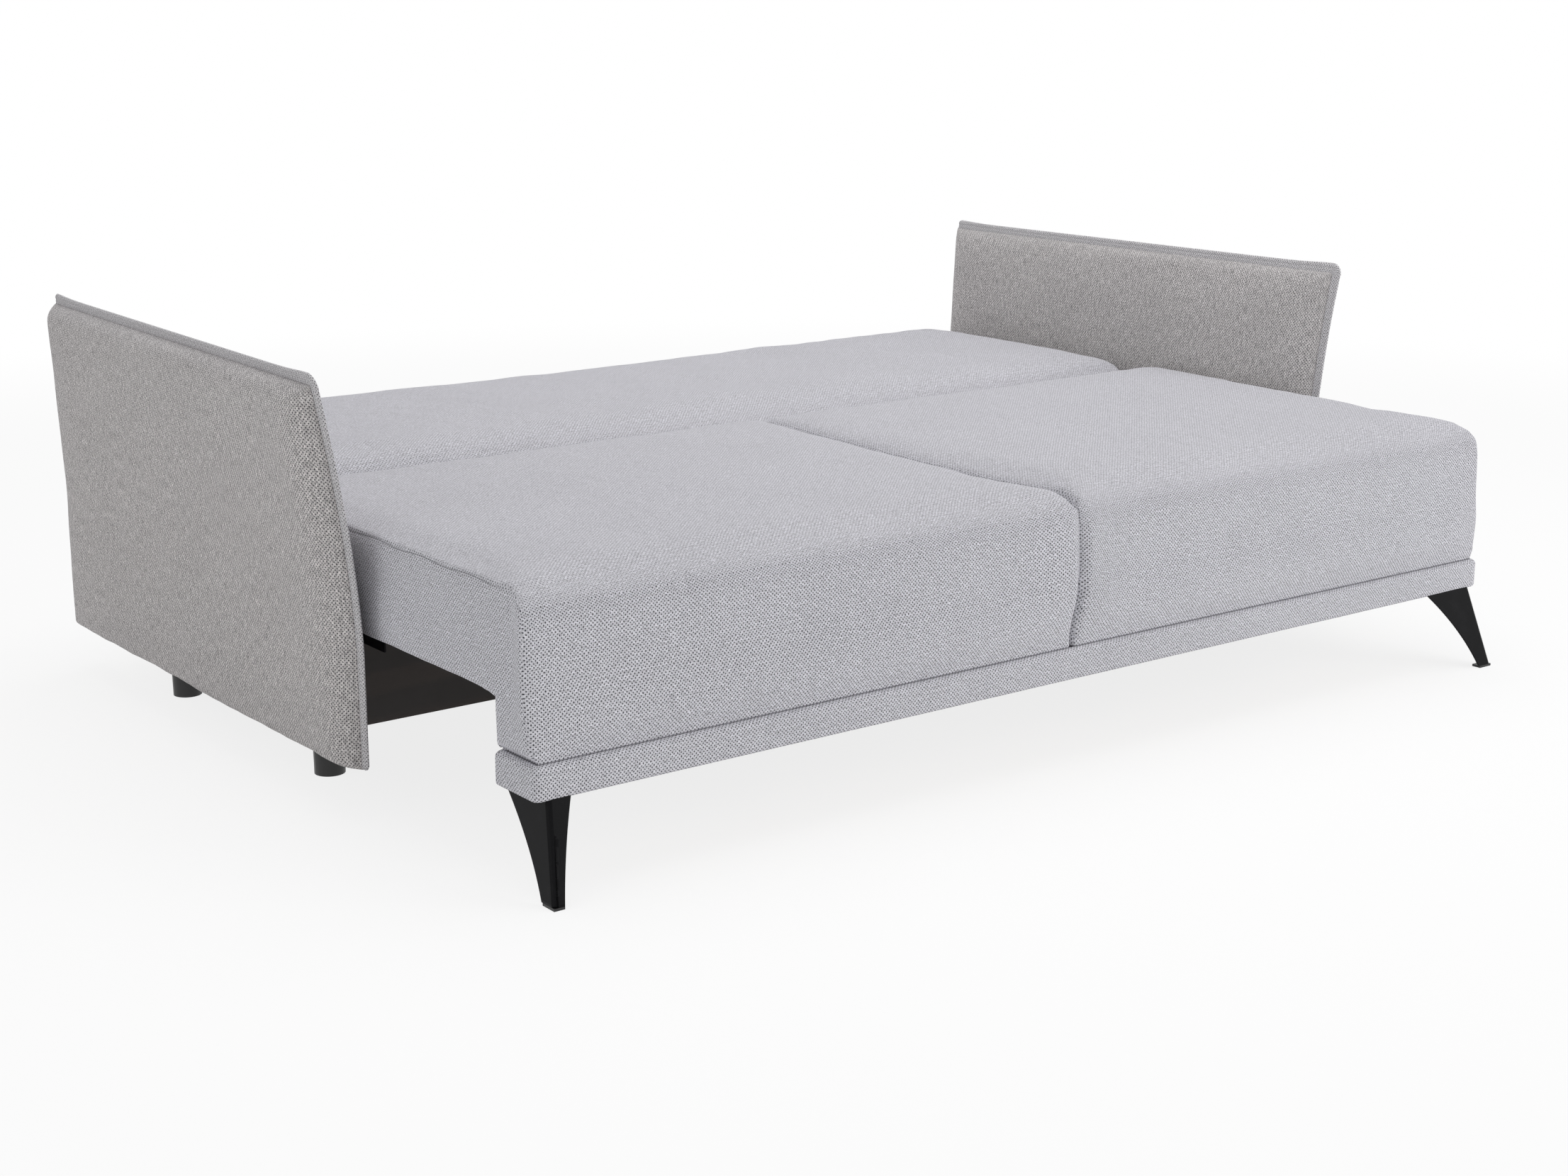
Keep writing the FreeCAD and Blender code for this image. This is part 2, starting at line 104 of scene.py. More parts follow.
class Wire:
    def __init__(self, finish, socket):
        self.finish, self.socket = finish, socket

    def calc(self, operation, *values):
        return self.finish.add("ShaderNodeMath", {"operation": operation}, dict(enumerate(values)))

    def __add__(self, other):
        return self.calc("ADD", self, other)

    def __sub__(self, other):
        return self.calc("SUBTRACT", self, other)

    def __rsub__(self, other):
        return self.calc("SUBTRACT", other, self)

    def __mul__(self, other):
        return self.calc("MULTIPLY", self, other)

    __radd__ = __add__
    __rmul__ = __mul__

    def sine(self):
        return self.calc("SINE", self)

    def size(self):
        return self.calc("ABSOLUTE", self)

    def ramp(self, low, high, start=0.0, end=1.0):
        # From start to end with soft ends, as the wire goes from low to high.
        return self.finish.add("ShaderNodeMapRange", {"interpolation_type": "SMOOTHSTEP"},
                               {"Value": self, "From Min": low, "From Max": high,
                                "To Min": start, "To Max": end})


class Finish:
    def __init__(self, name, world=False):
        self.material = scene.world if world else bpy.data.materials.new(name)
        self.material.use_nodes = True
        self.tree = self.material.node_tree
        self.tree.nodes.clear()

    def add(self, kind, settings=None, inputs=None, output=0):
        # One node of any kind: its settings first, then its sockets' values or links.
        node = self.tree.nodes.new(kind)
        for key, value in (settings or {}).items():
            setattr(node, key, value)
        for key, value in (inputs or {}).items():
            socket = node.inputs[key] if isinstance(key, int) else self.socketNamed(node.inputs, key)
            if isinstance(value, Wire):
                self.tree.links.new(value.socket, socket)
            else:
                socket.default_value = value
        found = node.outputs[output] if isinstance(output, int) else self.socketNamed(node.outputs, output)
        return Wire(self, found)

    def socketNamed(self, sockets, name):
        return next(socket for socket in sockets if name in (socket.identifier, socket.name))

    def noise(self, place, scale, detail=2.0, rough=0.5):
        return self.add("ShaderNodeTexNoise", {"noise_dimensions": "3D"},
                        {"Vector": place, "Scale": scale, "Detail": detail, "Roughness": rough})

    def mix(self, share, first, second):
        return self.add("ShaderNodeMix", {"data_type": "RGBA"},
                        {"Factor_Float": share, "A_Color": first, "B_Color": second},
                        "Result_Color")

    def shaded(self, colour, amount):
        # The colour times one plain number wire, through Vector Math.
        return self.add("ShaderNodeVectorMath", {"operation": "SCALE"}, {0: colour, "Scale": amount})

    def place(self):
        return self.add("ShaderNodeTexCoord", None, None, "Object")

    def parts(self, place):
        split = self.add("ShaderNodeSeparateXYZ", None, {0: place}).socket.node
        return [Wire(self, socket) for socket in split.outputs]

    def joined(self, first, second, third=0.0):
        return self.add("ShaderNodeCombineXYZ", None, {0: first, 1: second, 2: third})

    def attribute(self, name):
        return self.add("ShaderNodeAttribute", {"attribute_name": name}, None, "Fac")

    def bump(self, height, strength, distance):
        return self.add("ShaderNodeBump", None,
                        {"Strength": strength, "Distance": distance, "Height": height})

    def closeWith(self, body, kind="ShaderNodeOutputMaterial"):
        node = self.tree.nodes.new(kind)
        self.tree.links.new(body.socket, node.inputs["Surface"])
        return self.material

    def surface(self, inputs):
        return self.closeWith(self.add("ShaderNodeBsdfPrincipled", None, inputs))


def rgb(red, green, blue):
    # A colour as it looks on a screen, 0 to 255, turned into the light it stands for.
    screen = np.array([red, green, blue]) / 255.0
    light = np.where(screen <= 0.04045, screen / 12.92, ((screen + 0.055) / 1.055) ** 2.4)
    return tuple(float(value) for value in light) + (1.0,)


def seenDirectly(finish):
    # 1 where the camera, or a mirror or glass, looks straight at the surface.
    path = finish.add("ShaderNodeLightPath").socket.node
    camera = Wire(finish, path.outputs["Is Camera Ray"])
    glossy = Wire(finish, path.outputs["Is Glossy Ray"])
    through = Wire(finish, path.outputs["Is Transmission Ray"])
    return camera.calc("MAXIMUM", camera.calc("MAXIMUM", camera, glossy), through)


def makeStage(look):
    scene.world = bpy.data.worlds.new("studio")
    sky = Finish("studio", world=True)
    lit = sky.add("ShaderNodeBackground", None,
                  {"Color": (look["skyWhite"],) * 3 + (1.0,), "Strength": look["skyStrength"]})
    white = sky.add("ShaderNodeBackground", None, {"Color": (1, 1, 1, 1), "Strength": 1.0})
    sky.closeWith(sky.add("ShaderNodeMixShader", None, {0: seenDirectly(sky), 1: lit, 2: white}),
                   "ShaderNodeOutputWorld")
    ground = Finish("palefloor")
    matt = ground.add("ShaderNodeBsdfDiffuse", None, {"Color": (look["floorWhite"],) * 3 + (1.0,)})
    glow = ground.add("ShaderNodeEmission", None, {"Color": (1, 1, 1, 1), "Strength": 1.0})
    x, y, _ = ground.parts(ground.place())
    away = (x * x + y * y).ramp(look["shadeNear"] ** 2, look["shadeFar"] ** 2, look["floorGlow"], 1.0)
    share = seenDirectly(ground) * away
    ground.closeWith(ground.add("ShaderNodeMixShader", None, {0: share, 1: matt, 2: glow}))
    half = look["floorHalf"]
    mesh = bpy.data.meshes.new("floor")
    mesh.from_pydata([(-half, -half, 0), (half, -half, 0), (half, half, 0), (-half, half, 0)],
                     [], [(0, 1, 2, 3)])
    mesh.materials.append(ground.material)
    floor = bpy.data.objects.new("floor", mesh)
    scene.collection.objects.link(floor)


makeStage(stageLook)
print("stage made")


# Upholstery cloth: a coarse basket weave on a slant, with dark pinholes between the yarns, painted shade along its
# seams and a painted look on its tops

clothLooks = {
    "seatCloth": {
        "yarn": rgb(215, 214, 220), "pin": rgb(30, 30, 40), "paintedTopYarn": rgb(198, 197, 203), "cell": 0.0044,
        "pins": 0.96, "speckle": 1.0, "grain": 0.45, "upright": False, "patches": 0.05, "streaks": 0.05},
    "armCloth": {
        "yarn": rgb(205, 201, 200), "pin": rgb(36, 35, 42), "paintedTopYarn": rgb(199, 196, 197), "cell": 0.0044,
        "pins": 0.94, "speckle": 1.4, "grain": 1.1, "upright": True, "patches": 0.06, "streaks": 0.05},
    "weltCloth": {
        "yarn": rgb(210, 208, 210), "pin": rgb(44, 43, 50), "paintedTopYarn": rgb(208, 207, 210), "cell": 0.0040,
        "pins": 0.92, "speckle": 0.9, "grain": 0.3, "upright": True, "patches": 0.04, "streaks": 0.03},
}


def clothFinish(name, look):
    finish = Finish(name)
    weave = finish.add("ShaderNodeUVMap", {"uv_map": "weave"})
    across, along, _ = finish.parts(weave)
    upward = finish.attribute("upward")          # 0 on walls, 1 on tops
    # Painted shade: the seam attributes mark a dark line in the seam grooves, where the seat cushion's foot tucks
    # behind the plinth, along its outer end's seam and where the arm's halves meet.
    seamShadeLine = finish.attribute("seamPlace").size().ramp(0.0006, 0.0022, 1.0, 0.0)
    seam = seamShadeLine * finish.attribute("seamShadeShown")   # 1 along a seam's groove
    # Slanted lattice: two lines of yarns at 45 degrees, nudged a little by noise.
    nudge = finish.noise(weave, 140.0, 1.0) - 0.5
    drift = finish.noise(finish.joined(along, across), 55.0, 1.0) - 0.5
    turn = 1.0 / (look["cell"] * math.sqrt(2.0))
    first = (across + along) * turn + nudge * 0.5 + drift * 0.6
    second = (across - along) * turn + nudge * -0.5 + drift * 0.5
    waveFirst = (first * (2 * math.pi)).sine() * 0.5 + 0.5
    waveSecond = (second * (2 * math.pi)).sine() * 0.5 + 0.5
    pinhole = (waveFirst * waveSecond).ramp(0.34, 0.72)
    # Each crossing shows one yarn or the other, by turns, and its fibres run along it.
    turnabout = ((first * math.pi).sine() * (second * math.pi).sine()).ramp(-0.25, 0.25)
    fibreFirst = finish.noise(finish.joined(first * 0.55, second * 4.0), 1.0, 2.0)
    fibreSecond = finish.noise(finish.joined(second * 0.55, first * 4.0), 1.0, 2.0)
    fibre = fibreFirst * turnabout + fibreSecond * (1.0 - turnabout)
    speck = finish.noise(finish.joined(first, second), 1.3, 1.0) - 0.5
    yarnSwell = waveFirst * (1.0 - turnabout) + waveSecond * turnabout
    # Cloudy patches of tone, and single yarns that run lighter or darker for a while.
    cloud = finish.noise(weave, 5.5, 3.0, 0.6) - 0.5
    patch = finish.noise(finish.joined(across * 0.7, along * 1.6), 21.0, 3.0, 0.65) - 0.5
    streak = finish.noise(finish.joined(along * 9.0, across * 420.0), 1.0, 2.0) - 0.5
    long, short = (along, across) if look["upright"] else (across, along)
    grain = finish.noise(finish.joined(long * 60.0, short * 250.0), 1.0, 1.0) - 0.5
    # Painted top look: where the cloth faces up, the pinholes fade, fine ribs run across it and the yarn turns to
    # its top colour, standing in for how the tops catch the light.
    pinShare = pinhole * look["pins"] * upward.ramp(0.35, 0.95, 1.0, 0.55)
    shade = (0.80 + fibre * 0.36 + yarnSwell * 0.07) * (1.0 + cloud * (look["patches"] * 2.2)
                                                       + patch * look["patches"] * 1.6
                                                       + speck * look["speckle"]
                                                       + grain * look["grain"]
                                                       + streak * look["streaks"] * 2.0)
    paintedTopRibs = ((across * (2 * math.pi / 0.0036)).sine() * 0.035) * upward
    base = finish.mix(upward, look["yarn"], look["paintedTopYarn"])
    colour = finish.shaded(base, shade + paintedTopRibs)
    colour = finish.mix(pinShare, colour, look["pin"])
    # Painted shade: the seam grooves are darkened towards this dark grey.
    colour = finish.mix(seam * 0.82, colour, rgb(70, 69, 76))
    height = yarnSwell * 0.5 + fibre * 0.35 - pinhole * 0.9 - seam * 1.5
    return finish.surface({
        "Base Color": colour,
        "Roughness": 0.94 - fibre * 0.10,
        "Specular IOR Level": 0.18,
        "Sheen Weight": 0.16,
        "Sheen Roughness": 0.55,
        "Sheen Tint": (0.9, 0.9, 0.95, 1.0),
        "Normal": finish.bump(height, 0.55, 0.0009),
    })


clothFinishes = {name: clothFinish(name, look) for name, look in clothLooks.items()}
print("cloth finishes made")


# Hard finishes for the frame and its fittings

def boardFinish(name, look):
    # Wood: rings stretched along the grain, fine pores, and a few darker stripes.
    finish = Finish(name)
    x, y, z = finish.parts(finish.place())
    long, wide, deep = (y, x, z) if look["grain"] == "y" else (x, y, z)
    place = finish.joined(long * 1.2, wide * 14.0, deep * 14.0)
    warp = finish.noise(place, 1.0, 3.0) * 3.2
    rings = ((wide * look["rings"] + deep * (look["rings"] * 0.6) + warp) * 2.2).sine() * 0.5 + 0.5
    pores = finish.noise(finish.joined(long * 30.0, wide * 900.0, deep * 900.0), 1.0, 2.0)
    wear = finish.noise(finish.place(), 7.0, 4.0, 0.6)
    colour = finish.mix(rings.ramp(0.15, 0.95), look["light"], look["dark"])
    colour = finish.shaded(colour, 0.86 + pores * 0.16 + wear * 0.12)
    height = rings * 0.3 + pores * 0.7
    return finish.surface({
        "Base Color": colour,
        "Roughness": look["rough"] + wear * 0.18,
        "Normal": finish.bump(height, look["relief"], 0.0006),
    })


def metalFinish(name, look):
    # Painted or plated steel: orange peel, dust and rubbed spots.
    finish = Finish(name)
    place = finish.place()
    peel = finish.noise(place, look["peel"], 2.0)
    dust = finish.noise(place, 26.0, 5.0, 0.65)
    scuff = finish.noise(place, 210.0, 3.0, 0.7).ramp(0.62, 0.75)
    colour = finish.mix(dust.ramp(0.42, 0.8), look["base"], look["dusty"])
    return finish.surface({
        "Base Color": finish.mix(scuff * look["scuffs"], colour, look["rubbed"]),
        "Metallic": look["metal"],
        "Roughness": look["rough"] + dust * 0.16 + scuff * 0.05,
        "Specular IOR Level": look["shine"],
        "Normal": finish.bump(peel, 0.18, 0.0004),
    })


def mouldedFinish(name, look):
    # Moulded plastic or rubber: fine texture from the mould, and scuffs low down.
    finish = Finish(name)
    place = finish.place()
    grain = finish.noise(place, look["grain"], 2.0)
    haze = finish.noise(place, 35.0, 4.0, 0.6)
    height = finish.parts(place)[2]
    low = height.ramp(0.0, 0.03, 1.0, 0.0)
    colour = finish.mix(haze.ramp(0.4, 0.8) * 0.5 + low * 0.25, look["base"], look["hazy"])
    return finish.surface({
        "Base Color": colour,
        "Roughness": look["rough"] + haze * 0.2,
        "Normal": finish.bump(grain, look["relief"], 0.0003),
    })


def liningFinish(name, look):
    # Non-woven cloth: matted fibres with a square pattern of press dots.
    finish = Finish(name)
    place = finish.place()
    x, y, _ = finish.parts(place)
    fibres = finish.noise(place, 650.0, 3.0, 0.7)
    dots = ((x * (2 * math.pi / 0.004)).sine() * (y * (2 * math.pi / 0.004)).sine()).ramp(0.3, 0.8)
    return finish.surface({
        "Base Color": finish.mix(fibres, look["base"], look["fibre"]),
        "Roughness": 0.9 - dots * 0.15,
        "Normal": finish.bump(fibres - dots, 0.4, 0.0004),
    })


hardLooks = {
    "dark_board": (boardFinish, {
        "light": rgb(58, 50, 46), "dark": rgb(38, 32, 30), "rings": 60.0, "grain": "x", "rough": 0.50,
        "relief": 0.18}),
    "pine_wood": (boardFinish, {
        "light": rgb(214, 184, 142), "dark": rgb(178, 138, 92), "rings": 95.0, "grain": "x",
        "rough": 0.58, "relief": 0.30}),
    "beech_wood": (boardFinish, {
        "light": rgb(206, 170, 130), "dark": rgb(184, 142, 104), "rings": 150.0, "grain": "y",
        "rough": 0.50, "relief": 0.20}),
    "black_steel": (metalFinish, {
        "base": rgb(14, 14, 16), "dusty": rgb(24, 24, 26), "rubbed": rgb(60, 60, 62), "metal": 0.0,
        "rough": 0.30, "shine": 0.08, "peel": 900.0, "scuffs": 0.10}),
    "zinc_steel": (metalFinish, {
        "base": rgb(186, 188, 190), "dusty": rgb(150, 150, 150), "rubbed": rgb(214, 214, 214),
        "metal": 0.95, "rough": 0.30, "shine": 0.5, "peel": 300.0, "scuffs": 0.4}),
    "nylon": (mouldedFinish, {
        "base": rgb(226, 225, 218), "hazy": rgb(196, 192, 184), "rough": 0.38, "grain": 900.0,
        "relief": 0.12}),
    "black_plastic": (mouldedFinish, {
        "base": rgb(20, 20, 21), "hazy": rgb(40, 39, 38), "rough": 0.30, "grain": 1400.0,
        "relief": 0.15}),
    "black_rubber": (mouldedFinish, {
        "base": rgb(26, 26, 26), "hazy": rgb(52, 50, 48), "rough": 0.75, "grain": 700.0,
        "relief": 0.3}),
    "black_cloth": (liningFinish, {"base": rgb(24, 24, 26), "fibre": rgb(46, 46, 48)}),
}
hardFinishes = {slot: make(slot, look) for slot, (make, look) in hardLooks.items()}
slotOf = {part["node"]: part["material_slot"] for part in frame["record"]["subparts"]}
for nodeName, node in frame["nodes"].items():
    nodeFinish = hardFinishes.get(slotOf[nodeName], clothFinishes["armCloth"])
    if not node.material_slots:
        node.data.materials.append(nodeFinish)
    for materialSlot in node.material_slots:
        materialSlot.material = nodeFinish
print("node finishes set")


# Shapes from arrays

def respaced(points, step, closed=False):
    # The same line with its points set evenly, about one step apart.
    line = np.vstack([points, points[:1]]) if closed else points
    along = np.concatenate([[0.0], np.cumsum(np.linalg.norm(np.diff(line, axis=0), axis=1))])
    count = max(8, int(round(along[-1] / step)) + (0 if closed else 1))
    places = np.linspace(0.0, along[-1], count, endpoint=not closed)
    return np.stack([np.interp(places, along, line[:, axis]) for axis in range(line.shape[1])], 1)


def roundedLine(corners, step, closed=True):
    # Straight runs between corners (a, b, radius), each corner turned by an arc of its radius.
    line = []
    for index, (first, second, radius) in enumerate(corners):
        corner = np.array([first, second])
        if radius == 0.0 or (not closed and index in (0, len(corners) - 1)):
            line.append(corner[None])
            continue
        back = np.array(corners[index - 1][:2]) - corner
        ahead = np.array(corners[(index + 1) % len(corners)][:2]) - corner
        back, ahead = back / np.linalg.norm(back), ahead / np.linalg.norm(ahead)
        half = math.acos(np.clip(back @ ahead, -1.0, 1.0)) / 2
        middle = corner + (back + ahead) / np.linalg.norm(back + ahead) * radius / math.sin(half)
        spokes = [corner + way * radius / math.tan(half) - middle for way in (back, ahead)]
        start, end = [math.atan2(spoke[1], spoke[0]) for spoke in spokes]
        sweep = (end - start + math.pi) % (2 * math.pi) - math.pi
        angles = start + sweep * np.linspace(0.0, 1.0, 10)
        line.append(middle + radius * np.stack([np.cos(angles), np.sin(angles)], 1))
    return respaced(np.vstack(line), step, closed)


def gridPiece(name, points, finish, places, roundColumns=False, capped=False):
    # A surface over a grid of points, with the cloth's own map in metres from the two lines of places.
    rows, columns = points.shape[:2]
    row, column = np.meshgrid(np.arange(rows - 1), np.arange(columns if roundColumns else columns - 1),
                              indexing="ij")
    rowOf = np.stack([row, row + 1, row + 1, row], -1).reshape(-1, 4)
    columnOf = np.stack([column, column, column + 1, column + 1], -1).reshape(-1, 4)
    faces = (rowOf * columns + columnOf % columns).tolist()
    corners = np.stack([places[0][rowOf], places[1][columnOf]], -1).reshape(-1, 2)
    if capped:
        faces.append(list(range(columns)))
        faces.append(list(range((rows - 1) * columns, rows * columns))[::-1])
        corners = np.vstack([corners, np.zeros((2 * columns, 2))])
    mesh = bpy.data.meshes.new(name)
    mesh.from_pydata(points.reshape(-1, 3).tolist(), [], faces)
    weave = mesh.uv_layers.new(name="weave")
    weave.data.foreach_set("uv", corners.astype(np.float32).ravel())
    return finishedPiece(name, mesh, finish)


def finishedPiece(name, mesh, finish):
    # Doubles merged, faces turned outwards and shaded smooth.
    body = bmesh.new()
    body.from_mesh(mesh)
    bmesh.ops.remove_doubles(body, verts=body.verts, dist=1e-5)
    bmesh.ops.recalc_face_normals(body, faces=body.faces)
    body.to_mesh(mesh)
    body.free()
    mesh.polygons.foreach_set("use_smooth", np.ones(len(mesh.polygons), bool))
    piece = bpy.data.objects.new(name, mesh)
    scene.collection.objects.link(piece)
    mesh.materials.append(finish)
    return piece


def lengthsAlong(points):
    return np.concatenate([[0.0], np.cumsum(np.linalg.norm(np.diff(points, axis=0), axis=1))])


def vectorsOf(items, name):
    flat = np.empty(len(items) * 3, np.float32)
    items.foreach_get(name, flat)
    return flat.reshape(-1, 3).astype(float)


def pointsOf(mesh):
    return vectorsOf(mesh.vertices, "co")


def normalsOf(mesh):
    return vectorsOf(mesh.vertex_normals, "vector")


def setPoints(mesh, points):
    mesh.vertices.foreach_set("co", points.astype(np.float32).ravel())
    mesh.update()


def setAttribute(mesh, name, values):
    layer = mesh.attributes.get(name) or mesh.attributes.new(name, "FLOAT", "POINT")
    layer.data.foreach_set("value", np.broadcast_to(values, len(mesh.vertices)).astype(np.float32))


def applied(piece):
    # The piece's modifiers become its mesh.
    graph = bpy.context.evaluated_depsgraph_get()
    mesh = bpy.data.meshes.new_from_object(piece.evaluated_get(graph), preserve_all_data_layers=True,
                                           depsgraph=graph)
    piece.modifiers.clear()
    piece.data = mesh
    mesh.polygons.foreach_set("use_smooth", np.ones(len(mesh.polygons), bool))


def subdivided(piece):
    modifier = piece.modifiers.new("subdivision", "SUBSURF")
    modifier.levels = modifier.render_levels = 1
    applied(piece)


def remeshed(piece, voxel):
    modifier = piece.modifiers.new("remesh", "REMESH")
    modifier.mode, modifier.voxel_size = "VOXEL", voxel
    applied(piece)


def smoothed(low, high, values):
    share = np.clip((values - low) / (high - low), 0.0, 1.0)
    return share * share * (3.0 - 2.0 * share)


def waves(points, size, seed):
    # Sum of sine waves in random directions, each about one size long; it stays near -1 to 1.
    count = 9
    random = np.random.default_rng(seed)
    ways = random.normal(size=(count, points.shape[1]))
    ways *= (random.uniform(0.7, 1.5, count) / np.linalg.norm(ways, axis=1))[:, None]
    shifts = random.uniform(0.0, 2 * math.pi, count)
    return np.sin(points @ ways.T * (2 * math.pi / size) + shifts).sum(1) / math.sqrt(count)


def evened(mesh, values, firm, times):
    # Each point takes the mean of itself and its neighbours, time after time; firm points keep theirs.
    edges = np.empty(len(mesh.edges) * 2, np.int32)
    mesh.edges.foreach_get("vertices", edges)
    first, second = edges.reshape(-1, 2).T
    count = np.bincount(np.concatenate([first, second]), minlength=len(values))[:, None]
    for _ in range(times):
        total = np.stack([np.bincount(first, values[second, axis], len(values))
                          + np.bincount(second, values[first, axis], len(values)) for axis in range(3)], 1)
        values = np.where(firm[:, None], values, 0.5 * values + 0.5 * total / count)
    return values


stuffing = {"pressure": 4.0, "stiff": 15.0, "bend": 0.6}


def puffed(piece, firm, look):
    # Pressure swells the blank; firm points stay, and each way of moving levels off at its cap.
    mesh = piece.data
    rest = pointsOf(mesh)
    group = piece.vertex_groups.new(name="firm")
    group.add(np.flatnonzero(firm).tolist(), 1.0, "REPLACE")
    cloth = piece.modifiers.new("cloth", "CLOTH")
    cloth.settings.quality = 4
    cloth.settings.use_pressure = True
    cloth.settings.uniform_pressure_force = stuffing["pressure"]
    cloth.settings.effector_weights.gravity = 0.0
    cloth.settings.vertex_group_mass = "firm"
    cloth.settings.tension_stiffness = cloth.settings.compression_stiffness = stuffing["stiff"]
    cloth.settings.bending_stiffness = stuffing["bend"]
    for moment in range(1, look["frames"] + 1):
        scene.frame_set(moment)
    graph = bpy.context.evaluated_depsgraph_get()
    moved = pointsOf(piece.evaluated_get(graph).data)
    piece.modifiers.clear()
    piece.vertex_groups.clear()
    scene.frame_set(1)
    cap = np.array(look["cap"])
    swell = cap * np.tanh((moved - rest) / cap)
    setPoints(mesh, rest + evened(mesh, swell, firm, look["even"]))


def mappedAlong(piece, loop):
    # The cloth's map in metres: x and the way round the loop of (y, z), or y and z on a flat end.
    some, flatEnd = 20000, 0.8
    mesh = piece.data
    points = pointsOf(mesh)
    ahead = np.roll(loop, -1, 0) - loop
    lengths = np.linalg.norm(ahead, axis=1)
    starts = np.concatenate([[0.0], np.cumsum(lengths)[:-1]])
    place = np.empty(len(points))
    for low in range(0, len(points), some):
        flat = points[low:low + some, 1:]
        nearest = ((flat[:, None] - loop[None]) ** 2).sum(-1).argmin(1)
        offset = ((flat - loop[nearest]) * ahead[nearest]).sum(1) / lengths[nearest]
        place[low:low + some] = starts[nearest] + offset
    corner = np.empty(len(mesh.loops), np.int32)
    mesh.loops.foreach_get("vertex_index", corner)
    counts = np.empty(len(mesh.polygons), np.int32)
    mesh.polygons.foreach_get("loop_total", counts)
    onEnd = np.repeat(np.abs(vectorsOf(mesh.polygons, "normal")[:, 0]) > flatEnd, counts)
    wrapped = np.stack([points[corner, 0], place[corner]], 1)
    level = points[corner][:, 1:]
    weave = mesh.uv_layers.get("weave") or mesh.uv_layers.new(name="weave")
    weave.data.foreach_set("uv", np.where(onEnd[:, None], level, wrapped).astype(np.float32).ravel())


# Painted top look: how much each point faces up, which the cloth uses to paint its tops.
def setUpward(mesh):
    setAttribute(mesh, "upward", np.clip(normalsOf(mesh)[:, 2], 0.0, 1.0))


def mirrored(piece, name):
    # A copy on the other side of the middle, its faces turned outwards again.
    twin = bpy.data.objects.new(name, piece.data.copy())
    scene.collection.objects.link(twin)
    setPoints(twin.data, pointsOf(twin.data) * np.array([-1.0, 1.0, 1.0]))
    twin.data.flip_normals()
    return twin


# Seat cushions: a profile carried across each half, rounded at its ends, remeshed and blown up

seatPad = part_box("seat_pad_left")
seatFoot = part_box("seat_front_pad_left")[0].z
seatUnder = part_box("seat_underside_cloth")[1].z
apronFront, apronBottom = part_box("apron_front_board"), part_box("apron_bottom_board")
cushion = {
    "voxel": 0.0095, "step": 0.009, "frontSlack": 0.003, "topSlack": 0.002, "overSplit": 0.0005,
    "outerRound": 0.006, "outerFrontRound": 0.008, "splitHidden": 0.008, "splitWide": 0.020,
    "splitDeep": 0.013, "splitFrontWide": 0.016, "splitFrontDeep": 0.009, "bulge": 0.012,
    "lean": 0.026, "leanWide": 0.07, "leanRear": -0.35, "frontRound": 0.047, "rearRound": 0.014,
    "edge": 0.006, "lowEdge": 0.004, "gap": 0.0002, "overBoard": 0.002, "footBelow": 0.026,
    "footBehind": 0.0095, "footInside": 0.0128, "footTurn": 0.040, "footSide": 0.013,
    "footCorner": 0.014, "cornerWide": 0.022, "footSeam": 0.0080, "lip": 0.012,
    "seamDown": 0.013, "endSeamShade": 0.55, "grooveWide": 0.004, "grooveDeep": 0.0012,
    "ridgePast": 0.006, "ridgeWide": 0.005, "ridgeHigh": 0.0010, "seamSway": 0.0015, "wrinkle": 0.0006,
    "puff": {"cap": (0.004, 0.009, 0.008), "frames": 18, "even": 14},
}


def cushionLoop(look):
    # The cushion seen from its end: front wall, rounded top, rear wall, and the step under it.
    front, rear, top = seatPad[0].y + look["frontSlack"], seatPad[1].y, seatPad[1].z - look["topSlack"]
    apron, edge = apronBottom[1].y + look["overBoard"], look["edge"]
    return roundedLine([
        (front, seatFoot - look["footBelow"], edge), (front, top, look["frontRound"]),
        (rear, top, look["rearRound"]), (rear, seatUnder, edge), (apron, seatUnder, edge),
        (apron, apronBottom[0].z, look["lowEdge"])], look["step"])


def stepsTowards(middle, loop):
    # Unit steps from each point of the loop to its point of the middle line, and how far that is.
    away = middle - loop
    reach = np.linalg.norm(away, axis=1)
    return away / reach[:, None], reach


def cushionSpine(loop):
    # The nearest point to each point of the loop on a line that follows the cushion's L.
    middle = (seatPad[1].z + seatUnder) / 2
    upright = (seatPad[0].y + apronBottom[1].y) / 2
    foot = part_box("seat_side_wrap_left")[0].z + 0.02
    onUpright = np.stack([np.full(len(loop), upright), np.clip(loop[:, 1], foot, middle)], 1)
    onLevel = np.stack([np.clip(loop[:, 0], upright, seatPad[1].y - 0.07), np.full(len(loop), middle)], 1)
    far = [np.linalg.norm(loop - line, axis=1) for line in (onUpright, onLevel)]
    return np.where((far[0] < far[1])[:, None], onUpright, onLevel)


